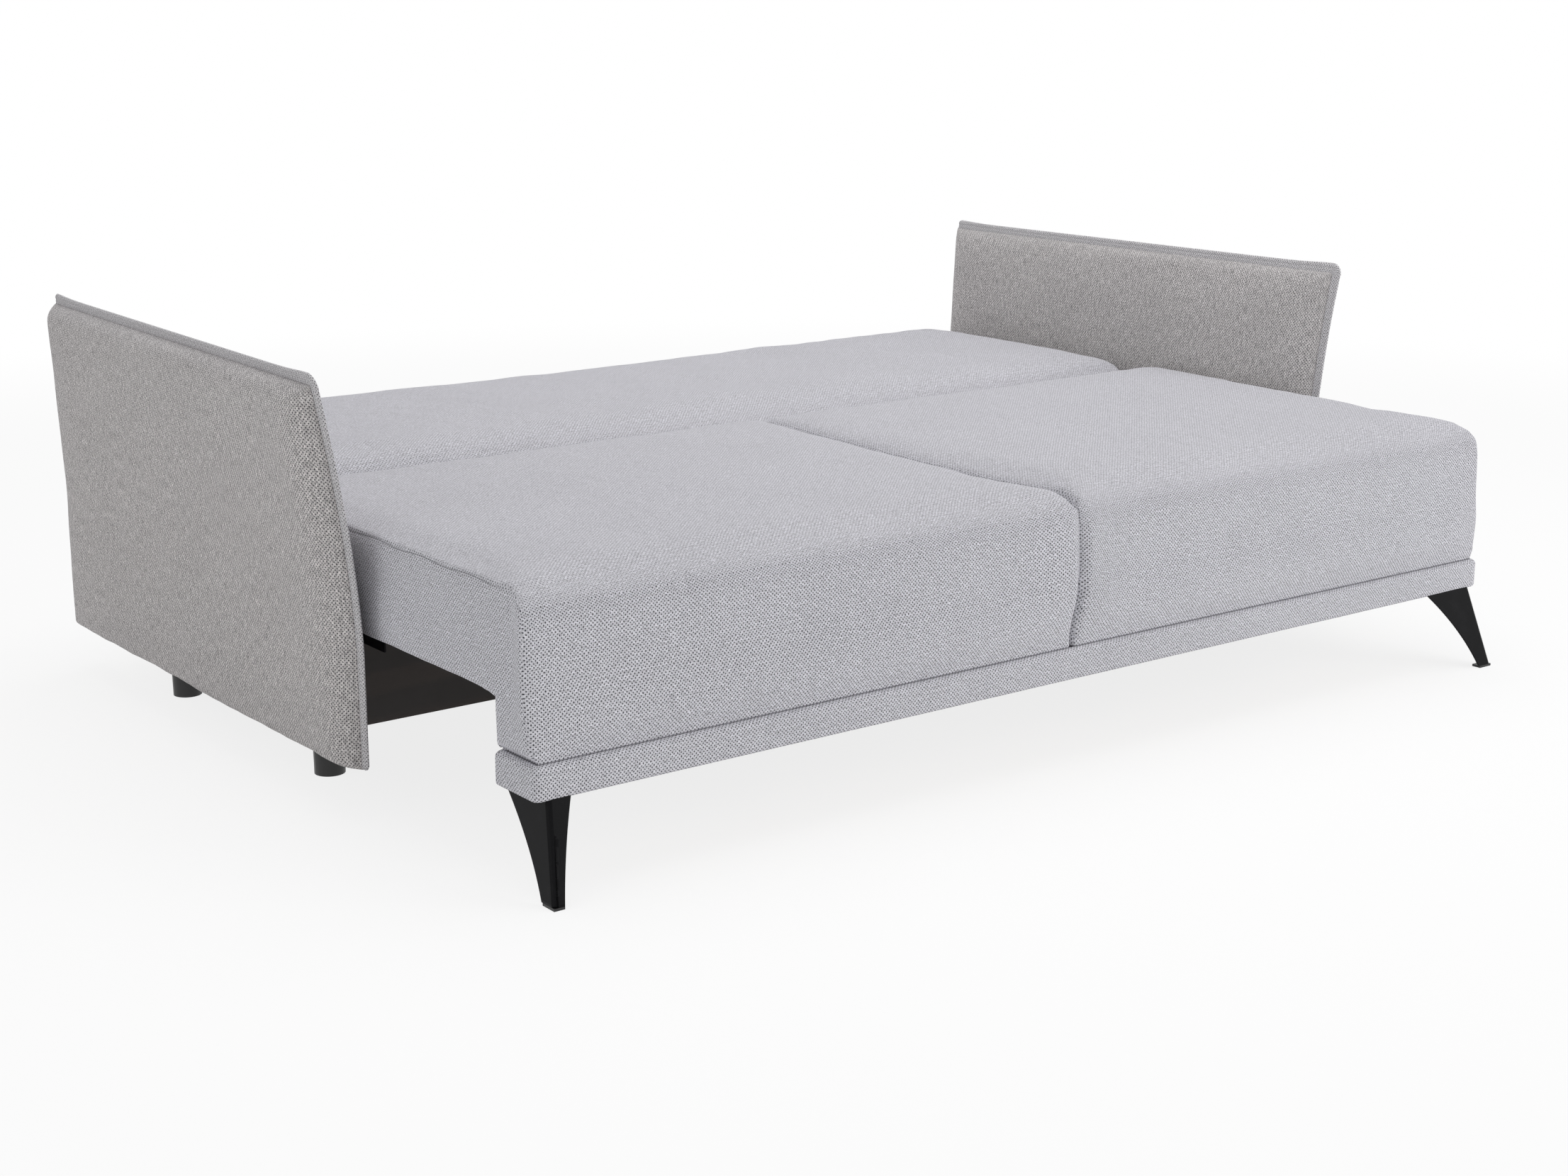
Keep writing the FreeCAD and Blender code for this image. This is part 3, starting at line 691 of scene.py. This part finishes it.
def carriedAcross(loop, spine, ends, turns, step):
    # The loop carried along X; at each end it is pulled towards its middle line by a quarter turn,
    # and each turn is as wide and as deep as its pair of sizes says.
    steps, reach = stepsTowards(spine, loop)
    (leftWide, leftDeep), (rightWide, rightDeep) = [[np.broadcast_to(size, len(loop)) for size in pair]
                                                    for pair in turns]
    turn = np.linspace(0.0, math.pi / 2, 7)[:, None]
    leftRows = ends[0] + leftWide * (1 - np.cos(turn))
    rightRows = ends[1] - rightWide * (1 - np.cos(turn))
    share = np.linspace(0.0, 1.0, int((ends[1] - ends[0]) / step))[1:-1, None]
    middle = leftRows[-1] + (rightRows[-1] - leftRows[-1]) * share
    x = np.vstack([leftRows, middle, rightRows[::-1]])
    pulled = np.vstack([leftDeep * (1 - np.sin(turn)), np.zeros((len(share), 1)) * loop[:, 0],
                        (rightDeep * (1 - np.sin(turn)))[::-1]])
    pulled = np.minimum(pulled, reach * 0.9)
    return np.concatenate([x[..., None], loop[None] + steps[None] * pulled[..., None]], -1)


def cushionBlank(name, loop, spine, ends, turns, look):
    points = carriedAcross(loop, spine, ends, turns, look["step"])
    places = [np.arange(len(points)) * look["step"], np.arange(len(loop) + 1) * look["step"]]
    piece = gridPiece(name, points, clothFinishes["seatCloth"], places, roundColumns=True, capped=True)
    remeshed(piece, look["voxel"])
    return piece


def makeSeatCushion(look):
    loop = cushionLoop(look)
    frontness = 1.0 - smoothed(seatPad[0].y + 0.02, seatPad[0].y + 0.12, loop[:, 0])
    outerRound = look["outerRound"] + (look["outerFrontRound"] - look["outerRound"]) * frontness
    visible = np.maximum(frontness, smoothed(seatPad[0].z + 0.02, seatPad[1].z - 0.03, loop[:, 1]))
    least = look["splitHidden"]
    splitTurn = [least + (look[top] - least) * visible + (look[front] - look[top]) * frontness
                 for top, front in (("splitWide", "splitFrontWide"), ("splitDeep", "splitFrontDeep"))]
    piece = cushionBlank("seat_cushion_left", loop, cushionSpine(loop),
                         (seatPad[0].x, seatPad[1].x + look["overSplit"]),
                         ((outerRound, outerRound), splitTurn), look)
    rest = pointsOf(piece.data)
    stepped = (rest[:, 2] < seatUnder + 0.012) & (rest[:, 1] > apronBottom[1].y - 0.012)
    atRear = rest[:, 1] > seatPad[1].y - 0.006
    seamed = rest[:, 2] < seatFoot + 0.004
    puffed(piece, stepped | atRear | seamed, look["puff"])
    subdivided(piece)
    shapeCushion(piece, look)
    mappedAlong(piece, loop)
    return piece


def tuckFoot(points, look):
    # Its foot is drawn in and tucked behind the plinth, sooner towards the split.
    # Here and below, x, y and z are views: a change to one of them moves the points.
    x, y, z = points.T
    aboveFoot = z - seatFoot + 0.004
    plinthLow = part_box("plinth_roll")[0]
    behind, inside = plinthLow.y + look["footBehind"], plinthLow.x + look["footInside"]
    turnUp = look["footTurn"] + look["footCorner"] * np.exp(-(x / look["cornerWide"]) ** 2)
    drawn = np.clip(1.0 - aboveFoot / turnUp, 0.0, 1.0) ** 2
    drawnSide = np.clip(1.0 - aboveFoot / look["footSide"], 0.0, 1.0) ** 2
    y += np.clip(behind - y, 0.0, None) * drawn
    x += np.clip(inside - x, 0.0, None) * drawnSide
    x[:] = np.clip(x, seatPad[0].x - 0.001, -look["gap"])


def shapeFront(points, outside, look):
    # In front of the arms its outer end swells past the plinth, and under its top crease
    # the split closes before the board.
    x, y, z = points.T
    standing = smoothed(seatFoot, seatFoot + 0.08, z)
    ahead = 1.0 - smoothed(seatPad[0].y + 0.004, seatPad[0].y + 0.056, y)
    x -= look["bulge"] * standing * ahead * smoothed(-0.10, 0.0, outside)
    pastFront = smoothed(apronFront[0].y - 0.009, apronFront[0].y - 0.004, y)
    atBoard = (1.0 - smoothed(apronFront[1].z, apronFront[1].z + 0.03, z)) \
        * smoothed(-0.030, -0.020, x) * (y < apronFront[1].y)
    below = (1.0 - smoothed(seatPad[1].z - 0.034, seatPad[1].z - 0.020, z)) * smoothed(-0.016, -0.008, x)
    x += (-look["gap"] - x) * pastFront * np.maximum(atBoard, below)
    y[:] = np.minimum(y, seatPad[1].y)


def shapeCushion(piece, look):
    # Faint wrinkles, the seam along the top of its outer end, its foot and front, and its end's lip.
    mesh = piece.data
    points, normals = pointsOf(mesh), normalsOf(mesh)
    ruffle = waves(points, 0.16, 11) + 0.5 * waves(points, 0.07, 12)
    points += normals * (ruffle * look["wrinkle"])[:, None]
    x, y, z = points.T
    outside = np.abs(x) + seatPad[0].x          # 0 on the outer end, falling inwards
    drop = z - (seatPad[1].z - look["seamDown"]) + look["seamSway"] * np.sin(y * 47.0)
    past = drop + np.clip(-outside - 0.004, 0.0, None)  # grows upwards, then inwards over the top
    onOuter = 1.0 - smoothed(0.02, 0.04, -outside)
    shown = onOuter * smoothed(seatPad[0].y + 0.05, seatPad[0].y + 0.12, y)
    groove = look["grooveDeep"] * np.exp(-(past / look["grooveWide"]) ** 2)
    ridge = look["ridgeHigh"] * np.exp(-((past - look["ridgePast"]) / look["ridgeWide"]) ** 2)
    points += normals * ((ridge - groove) * shown)[:, None]
    tuckFoot(points, look)
    shapeFront(points, outside, look)
    # The end panel's lower edge laps down over the rail.
    low = 1.0 - smoothed(seatUnder + 0.002, seatUnder + 0.030, z)
    behindApron = smoothed(-0.008, 0.008, y - apronBottom[1].y)
    z -= look["lip"] * smoothed(-0.014, -0.008, np.abs(x) + seatPad[0].x) * low * behindApron
    setPoints(mesh, points)
    setUpward(mesh)
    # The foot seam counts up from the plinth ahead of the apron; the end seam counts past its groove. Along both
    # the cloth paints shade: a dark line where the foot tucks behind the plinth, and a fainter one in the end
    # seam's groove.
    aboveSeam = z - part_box("plinth_roll")[1].z + look["footSeam"]
    atFoot = aboveSeam < 0.02
    setAttribute(mesh, "seamPlace", np.where(atFoot, np.clip(aboveSeam, 0.0, None),
                                             np.where(onOuter > 0.0, past, 0.2)))
    setAttribute(mesh, "seamShadeShown", np.where(atFoot, behindApron < 0.01, shown * look["endSeamShade"]))


def leanSplit(piece, look):
    # Low in front, the left cushion crowds over the middle: a bell across X times a hump up the wall.
    points = pointsOf(piece.data)
    x, y, z = points.T
    up = np.clip((z - seatFoot) / (seatPad[1].z - seatFoot), 0.0, 1.0)
    ahead = 1.0 - smoothed(apronBottom[0].y, look["leanRear"], y)
    hump = smoothed(0.0, 0.35, up) * (0.65 + 0.35 * np.sin(math.pi * up))
    x += look["lean"] * np.exp(-(x / look["leanWide"]) ** 2) * ahead * hump
    setPoints(piece.data, points)


leftCushion = makeSeatCushion(cushion)
rightCushion = mirrored(leftCushion, "seat_cushion_right")
for side, piece in (("left", leftCushion), ("right", rightCushion)):
    leanSplit(piece, cushion)
    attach(piece, "seat")
    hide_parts("seat_pad_" + side, "seat_front_pad_" + side, "seat_side_wrap_" + side)
print("seat cushions made")


# Back: one wide pad whose front turns round the hinge

backHinge = next(joint for joint in frame["joints"] if joint["name"] == "back_fold")["pos_m"]
backPad = {
    "voxel": 0.0125, "step": 0.011, "topSlack": 0.005, "frontSlack": 0.003, "rearSlack": 0.004,
    "overEnd": 0.002, "leastRound": 0.003, "endRound": 0.022, "overRail": 0.0022, "spineIn": 0.07,
    "frontLift": 0.008, "frontEdge": 0.020, "rearRound": 0.034, "edge": 0.008, "wrinkle": 0.0011,
    "overHinge": 0.0903, "riseBehind": 0.17, "aboveRails": 0.0004,
    "puff": {"cap": (0.005, 0.006, 0.012), "frames": 18, "even": 14},
}


def clearHinge(points, look):
    # Where the pad turns up past the seat, it stays inside the hinge's circle.
    _, y, z = points.T
    behind, rise = y - backHinge[1], z - backHinge[2]
    limit = look["overHinge"] + look["riseBehind"] * np.clip(behind, 0.0, None)
    z[:] = backHinge[2] + np.minimum(rise, limit)
    away = np.hypot(behind, np.clip(rise, 0.0, None))
    over = np.where(behind < 0.0, np.minimum(1.0, look["overHinge"] / np.maximum(away, 1e-6)), 1.0)
    y[:] = backHinge[1] + behind * over
    z[:] = np.where((behind < 0.0) & (rise > 0.0), backHinge[2] + rise * over, z)


def makeBackPad(look):
    low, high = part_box("back_pad")
    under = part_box("back_edge_wraps")[0].z
    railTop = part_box("back_side_rails")[1].z
    front, rear = low.y + look["frontSlack"], high.y - look["rearSlack"]
    top = high.z - look["topSlack"]
    loop = roundedLine([(front, under + look["frontLift"], look["frontEdge"]),
                        (front, top, backHinge[1] - front - look["topSlack"]),
                        (rear, top, look["rearRound"]), (rear, under, look["edge"])], look["step"])
    spine = np.stack([np.clip(loop[:, 0], front + look["spineIn"], rear - look["spineIn"]),
                      np.full(len(loop), (under + top) / 2)], 1)
    # Square at its ends over the rails, rounded above them.
    endRound = look["leastRound"] + look["endRound"] * smoothed(railTop - 0.010, railTop + 0.050, loop[:, 1])
    piece = cushionBlank("back_cushion", loop, spine, (low.x - look["overEnd"], high.x + look["overEnd"]),
                         ((endRound, endRound), (endRound, endRound)), look)
    rest = pointsOf(piece.data)
    puffed(piece, rest[:, 2] < under + 0.020, look["puff"])
    subdivided(piece)
    mesh = piece.data
    points = pointsOf(mesh)
    ruffle = waves(points, 0.19, 21) + 0.5 * waves(points, 0.08, 22)
    points += normalsOf(mesh) * (ruffle * look["wrinkle"])[:, None]
    clearHinge(points, look)
    x, _, z = points.T
    x[:] = np.clip(x, low.x - 0.003, high.x + 0.003)
    overRail = (np.abs(normalsOf(mesh)[:, 0]) > 0.5) & (z < railTop + 0.004)
    x[:] = np.where(overRail, np.sign(x) * np.maximum(np.abs(x), high.x + look["overRail"]), x)
    # Nothing hangs below the rails.
    z[:] = np.maximum(z, under + look["aboveRails"])
    setPoints(mesh, points)
    setUpward(mesh)
    mappedAlong(piece, loop)
    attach(piece, "back")
    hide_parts("back_pad", "back_edge_wraps")


makeBackPad(backPad)
print("back cushion made")


# Plinth: a stuffed roll of cloth round three sides of the seat's foot

plinth = {"corner": 0.012, "thick": 0.013, "step": 0.006, "sectionStep": 0.003, "topRound": 0.0075,
          "lowRound": 0.006, "topTuck": 0.009, "topLower": 0.009, "hang": 0.002, "ripple": 0.0006}


def makePlinth(look):
    # A section of depths and heights, rounded in front, carried round the seat's foot.
    low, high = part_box("plinth_roll")
    top, foot = high.z - look["topLower"], low.z - look["hang"]
    path = roundedLine([(low.x, high.y, 0.0), (low.x, low.y, look["corner"]),
                        (high.x, low.y, look["corner"]), (high.x, high.y, 0.0)], look["step"], False)
    section = roundedLine([
        (0.0, foot, look["lowRound"]), (0.0, top - 0.003, look["topRound"]),
        (-look["topTuck"], top, 0.003), (-look["thick"], top, 0.0015),
        (-look["thick"], foot, 0.002)], look["sectionStep"])
    ahead = np.gradient(path, axis=0)
    ahead /= np.linalg.norm(ahead, axis=1)[:, None]
    outward = np.stack([ahead[:, 1], -ahead[:, 0]], 1)
    flat = path[:, None] + outward[:, None] * section[None, :, :1]
    height = np.broadcast_to(section[None, :, 1:], flat.shape[:2] + (1,))
    points = np.concatenate([flat, height], -1)
    ripple = waves(points.reshape(-1, 3), 0.11, 31).reshape(points.shape[:2]) * look["ripple"]
    face = np.clip((section[:, 0] + 0.004) / 0.004, 0.0, 1.0)
    points[..., :2] += outward[:, None] * (ripple * face)[..., None]
    columns = lengthsAlong(np.vstack([section, section[:1]]))
    piece = gridPiece("plinth_cover", points, clothFinishes["seatCloth"],
                      [lengthsAlong(path), columns], roundColumns=True, capped=True)
    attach(piece, "seat")
    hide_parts("plinth_roll")


makePlinth(plinth)
print("plinth made")


# Arms: two puffed halves that meet in a seam, and a flat welt that stands up out of it

arm = {
    "seamIn": 0.022, "innerThick": 0.0200, "outerThick": 0.0345, "frontDepth": 0.050, "topDepth": 0.032,
    "rearDepth": 0.026, "footDepth": 0.016, "fullness": 2.4, "step": 0.0125, "turnSteps": 8,
    "reach": 0.055, "rearReach": 0.018, "flareFrom": 0.250, "flareBend": 1.6, "wrinkle": 0.0009,
    "overhang": 0.010, "rearSlack": 0.008, "clear": 0.004,
    "puff": {"cap": (0.0045, 0.003, 0.003), "frames": 16, "even": 10},
}
welt = {"halfThick": 0.0030, "sunk": 0.007, "step": 0.006, "groovePlace": 0.62, "grooveWide": 0.045,
        "grooveDeep": 0.0011, "ear": 0.003, "earDown": 0.55, "earRun": 0.060, "endShare": 0.55}


def armFrame(look):
    # The right arm's front, rear, foot and top, its seam plane, and how far in it may come.
    low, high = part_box("arm_inner_pad_right")
    return {"front": low.y, "rear": high.y - look["rearSlack"], "foot": low.z - look["overhang"],
            "top": high.z, "seam": low.x + look["seamIn"], "weltTop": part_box("arm_flange_right")[1].z,
            "clear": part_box("seat_pad_right")[1].x + look["clear"]}


def flare(y, z, shape, look):
    # Straight up to the bend, then outwards by a power of the height, more towards the front.
    share = np.clip((shape["rear"] - y) / (shape["rear"] - shape["front"]), 0.0, None)
    rise = np.clip((z - look["flareFrom"]) / (shape["top"] - look["flareFrom"]), 0.0, None)
    reach = look["rearReach"] + (look["reach"] - look["rearReach"]) * share
    return reach * rise ** look["flareBend"]


def fromSeam(points, shape, look):
    return points[:, 0] - shape["seam"] - flare(points[:, 1], points[:, 2], shape, look)


def turnedEdges(low, high, lowDepth, highDepth, look):
    # Places from one edge to the other, and the fullness there: a quarter turn, flat, a quarter turn.
    turn = np.linspace(0.0, math.pi / 2, look["turnSteps"])
    inwards = 1.0 - np.cos(turn) ** (2.0 / look["fullness"])
    rise = np.sin(turn) ** (2.0 / look["fullness"])
    count = int((high - low - lowDepth - highDepth) / look["step"])
    flat = np.linspace(low + lowDepth, high - highDepth, count)[1:-1]
    places = np.concatenate([low + lowDepth * inwards, flat, (high - highDepth * inwards)[::-1]])
    return places, np.concatenate([rise, np.ones(len(flat)), rise[::-1]])


def makeArmCover(shape, look):
    y, fullY = turnedEdges(shape["front"], shape["rear"], look["frontDepth"], look["rearDepth"], look)
    z, fullZ = turnedEdges(shape["foot"], shape["top"], look["footDepth"], look["topDepth"], look)
    gridY, gridZ = np.meshgrid(y, z, indexing="ij")
    full = fullY[:, None] * fullZ[None]
    rows = lengthsAlong(np.stack([y, fullY * look["outerThick"]], 1))
    columns = lengthsAlong(np.stack([z, fullZ * look["outerThick"]], 1))
    centre = shape["seam"] + flare(gridY, gridZ, shape, look)
    halves = []
    for name, way in (("outer", look["outerThick"]), ("inner", -look["innerThick"])):
        points = np.stack([centre + way * full, gridY, gridZ], -1)
        halves.append(gridPiece("arm_" + name, points, clothFinishes["armCloth"], [rows, columns]))
    return joinedHalves(halves, shape, look)


def joinedHalves(halves, shape, look):
    # One closed cover, swelled, with its seam kept on the seam plane.
    body = bmesh.new()
    for half in halves:
        body.from_mesh(half.data)
        bpy.data.objects.remove(half)
    mesh = bpy.data.meshes.new("arm_cover_right")
    body.to_mesh(mesh)
    body.free()
    piece = finishedPiece("arm_cover_right", mesh, clothFinishes["armCloth"])
    rest = pointsOf(mesh)
    seamed = np.abs(fromSeam(rest, shape, look)) < 0.004
    puffed(piece, seamed | (rest[:, 2] < shape["foot"] + 0.008), look["puff"])
    subdivided(piece)
    mesh = piece.data
    points = pointsOf(mesh)
    offset = np.abs(fromSeam(points, shape, look))
    ruffle = waves(points, 0.20, 41) + 0.4 * waves(points, 0.075, 42)
    share = smoothed(0.0, 0.02, offset)
    points += normalsOf(mesh) * (ruffle * share * look["wrinkle"])[:, None]
    # The inner half stays clear of the seat that slides past it.
    points[:, 0] = np.maximum(points[:, 0], shape["clear"])
    setPoints(mesh, points)
    # The arm takes only part of the painted top look.
    setAttribute(mesh, "upward", 0.55 * np.clip(normalsOf(mesh)[:, 2], 0.0, 1.0))
    # Painted shade: a dark line along the seam where the two halves meet, from just above the foot.
    setAttribute(mesh, "seamPlace", offset * 0.5)
    setAttribute(mesh, "seamShadeShown", smoothed(shape["foot"], shape["foot"] + 0.02, points[:, 2]))
    return piece


def makeWelt(shape, look, armLook):
    # Feet along the top and down the front, each with its own way out and height of stand.
    stand = shape["weltTop"] - shape["top"]
    sunk = look["sunk"]
    footY, footZ = shape["front"] + sunk, shape["top"] - sunk
    top = np.linspace(shape["rear"] - 0.004, footY, int((shape["rear"] - footY) / look["step"]))
    front = np.linspace(footZ, shape["foot"] + 0.002, int((footZ - shape["foot"]) / look["step"]))
    turn = np.linspace(0.0, math.pi / 2, 13)[1:-1]
    foot = np.vstack([np.stack([top, np.full(len(top), footZ)], 1),
                      np.tile([[footY, footZ]], (len(turn), 1)),
                      np.stack([np.full(len(front), footY), front], 1)])
    angle = np.concatenate([np.zeros(len(top)), turn, np.full(len(front), math.pi / 2)])
    out = np.stack([-np.sin(angle), np.cos(angle)], 1)
    fromCorner = np.where(angle == 0.0, foot[:, 0] - footY, footZ - foot[:, 1])
    fromRear = shape["rear"] - foot[:, 0]
    downFront = np.where(angle == math.pi / 2, look["earDown"], 1.0)
    frontEar = np.exp(-(fromCorner / look["earRun"]) ** 2) * downFront
    rearEar = np.exp(-(fromRear / look["earRun"]) ** 2) * (angle == 0.0)
    ends = smoothed(0.0, 0.010, fromRear + 0.003) * smoothed(0.0, 0.008, foot[:, 1] - shape["foot"] + 0.002)
    height = (stand + sunk + look["ear"] * (frontEar + rearEar)) \
        * (look["endShare"] + (1.0 - look["endShare"]) * ends)
    # Across: up one side, round the edge and down the other, with a stitched groove on each side.
    up = np.linspace(0.0, 1.0, 15)
    thick = look["halfThick"] * np.sqrt(np.clip(1.0 - up ** 9, 0.0, 1.0))
    thick[-1] = look["halfThick"] * 0.2
    thick -= look["grooveDeep"] * np.exp(-((up - look["groovePlace"]) / look["grooveWide"]) ** 2)
    along = np.concatenate([up, up[::-1]])
    side = np.concatenate([thick, -thick[::-1]])
    flat = foot[:, None] + out[:, None] * (height[:, None] * along[None])[..., None]
    x = shape["seam"] + flare(flat[..., 0], flat[..., 1], shape, armLook) + side[None]
    points = np.concatenate([x[..., None], flat], -1)
    section = np.stack([along * (stand + sunk), side], 1)
    edge = foot + out * height[:, None]
    return gridPiece("arm_welt_right", points, clothFinishes["weltCloth"],
                     [lengthsAlong(edge), np.concatenate([lengthsAlong(section), [0.05]])],
                     roundColumns=True, capped=True)


armShape = armFrame(arm)
rightArm = makeArmCover(armShape, arm)
rightWelt = makeWelt(armShape, welt, arm)
arms = {"right": (rightArm, rightWelt),
        "left": (mirrored(rightArm, "arm_cover_left"), mirrored(rightWelt, "arm_welt_left"))}
for side, (cover, edging) in arms.items():
    for piece, nodeNames in ((cover, ("arm_inner_pad_", "arm_outer_pad_")), (edging, ("arm_flange_",))):
        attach(piece, "base")
        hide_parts(*[nodeName + side for nodeName in nodeNames])
print("arms made")


# Front legs: folded sheet, two wings that meet in a double crease

leg = {
    "sheet": 0.003, "waist": 0.42, "waistShare": 0.44, "wide": (0.118, 0.033), "slim": (0.038, 0.0175),
    "rows": 40, "crease": 0.0058, "valley": 0.0011, "ease": 0.0006, "outX": 0.021, "outY": 0.045,
    "glide": 0.004, "intoPlinth": 0.003, "plate": 0.096, "plateInset": 0.014, "plateRound": 0.004,
}


def wingWidth(share, top, low, look):
    # Wide at the plate, waisted below it, then nearly even down to the toe.
    # It is the parabola through those three widths.
    waist, place = low + (top - low) * look["waistShare"], look["waist"]
    return (top * (share - place) * (share - 1.0) / place
            + waist * share * (share - 1.0) / (place * (place - 1.0))
            + low * share * (share - place) / (1.0 - place))


def makeLeg(look, sideWing, frontWing):
    # A right-hand leg; each wing is given by its width at the plate and at the toe.
    low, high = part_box("front_leg_right")
    top = np.array([high.x - look["outX"], low.y + look["outY"], high.z + look["intoPlinth"]])
    toe = np.array([high.x, low.y, look["glide"]])
    share = np.linspace(0.0, 1.0, look["rows"])[:, None]
    crease = top + (toe - top) * share
    sideWide = wingWidth(share, *sideWing, look)
    frontWide = wingWidth(share, *frontWing, look)
    rib, sheet, valley, ease = look["crease"], look["sheet"], look["valley"], look["ease"]

    def beside(x, y):
        return np.concatenate([x + 0.0 * share, y + 0.0 * share, 0.0 * share], 1)

    # Across the outside: the side wing from its edge, its rib, the valley, the other rib, the front wing.
    outwards, inwards = (1.0, 0.985, 0.75, 0.5, 0.25), (0.25, 0.5, 0.75, 0.985, 1.0)
    section = [beside(0.0, sideWide * place) for place in outwards]
    section += [beside(x, y) for x, y in (
        (0.0, rib + 0.0014), (0.0, rib + 0.0004), (-0.0005, rib - 0.0004), (-valley - ease, rib * 0.62),
        (-rib * 0.40, rib * 0.40), (-rib * 0.62, valley + ease), (-rib + 0.0004, 0.0005),
        (-rib - 0.0004, 0.0), (-rib - 0.0014, 0.0))]
    section += [beside(-frontWide * place, 0.0) for place in inwards]
    # Back along the inside, one sheet further in.
    section += [beside(-frontWide * place, sheet) for place in (1.0, 0.985, 0.75, 0.5, 0.3)]
    section += [beside(-sheet, sheet)] + [beside(-sheet, sideWide * place) for place in inwards]
    section = np.stack(section, 1)
    points = crease[:, None] + section
    places = [share[:, 0] * 0.14, np.arange(section.shape[1] + 1) * 0.004]
    shell = gridPiece("leg_shell_right", points, hardFinishes["black_steel"], places,
                      roundColumns=True, capped=True)
    return withPlate(shell, top, high.z, look)


def withPlate(shell, top, high, look):
    # The plate welded on top: a rounded outline lifted through its thickness, its edges eased.
    left, right = top[0] - look["plate"], top[0] - look["plateInset"]
    near, far = top[1] + look["plateInset"], top[1] + look["plate"]
    outline = roundedLine([(x, y, look["plateRound"]) for x, y in
                           ((left, near), (right, near), (right, far), (left, far))], 0.002)
    middle = outline.mean(0)
    sheet, ease = look["sheet"], look["ease"]
    edges = np.array([(ease, 0.0), (0.0, ease), (0.0, sheet - ease), (ease, sheet)])
    way = (middle - outline) / np.linalg.norm(middle - outline, axis=1)[:, None]
    points = np.stack([np.column_stack([outline + way * inwards, np.full(len(outline), high - sheet + up)])
                       for inwards, up in edges])
    plate = gridPiece("leg_plate", points, hardFinishes["black_steel"],
                      [edges[:, 1], np.arange(len(outline) + 1) * 0.002], roundColumns=True, capped=True)
    body = bmesh.new()
    for piece in (shell, plate):
        body.from_mesh(piece.data)
    body.to_mesh(shell.data)
    body.free()
    bpy.data.objects.remove(plate)
    shell.data.polygons.foreach_set("use_smooth", np.ones(len(shell.data.polygons), bool))
    return shell


# The same leg stands at both corners, so its wide wing is at the side on the left, in front on the right.
rightLeg = makeLeg(leg, leg["slim"], leg["wide"])
unmirrored = makeLeg(leg, leg["wide"], leg["slim"])
legs = {"right": rightLeg, "left": mirrored(unmirrored, "leg_shell_left")}
bpy.data.objects.remove(unmirrored)
for side, piece in legs.items():
    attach(piece, "seat")
    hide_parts("front_leg_" + side)
print("legs made")


# Dust covers: thin sheets stapled under the seat and the back, sagging a little between the rails

dust = {"sag": 0.004, "pucker": 0.0006, "puckerTurns": 90.0}


def makeDustCover(body, look):
    # A level grid whose middle hangs by a product of two half waves, with small puckers at the edge.
    low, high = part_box(body + "_underside_cloth")
    x, y = np.meshgrid(np.linspace(low.x, high.x, 120), np.linspace(low.y, high.y, 60), indexing="ij")
    across, along = (x - low.x) / (high.x - low.x), (y - low.y) / (high.y - low.y)
    hang = np.sin(math.pi * across) ** 0.5 * np.sin(math.pi * along)
    edge = 1.0 - np.minimum.reduce([across, 1 - across, along, 1 - along]) / 0.5
    pucker = np.sin(x * look["puckerTurns"]) * np.sin(y * look["puckerTurns"]) * look["pucker"] * edge ** 6
    points = np.stack([x, y, low.z - look["sag"] * hang + pucker], -1)
    piece = gridPiece(body + "_dust_cover", points, hardFinishes["black_cloth"], [x[:, 0], y[0]])
    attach(piece, body)
    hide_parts(body + "_underside_cloth")


for body in ("seat", "back"):
    makeDustCover(body, dust)
print("dust covers made")
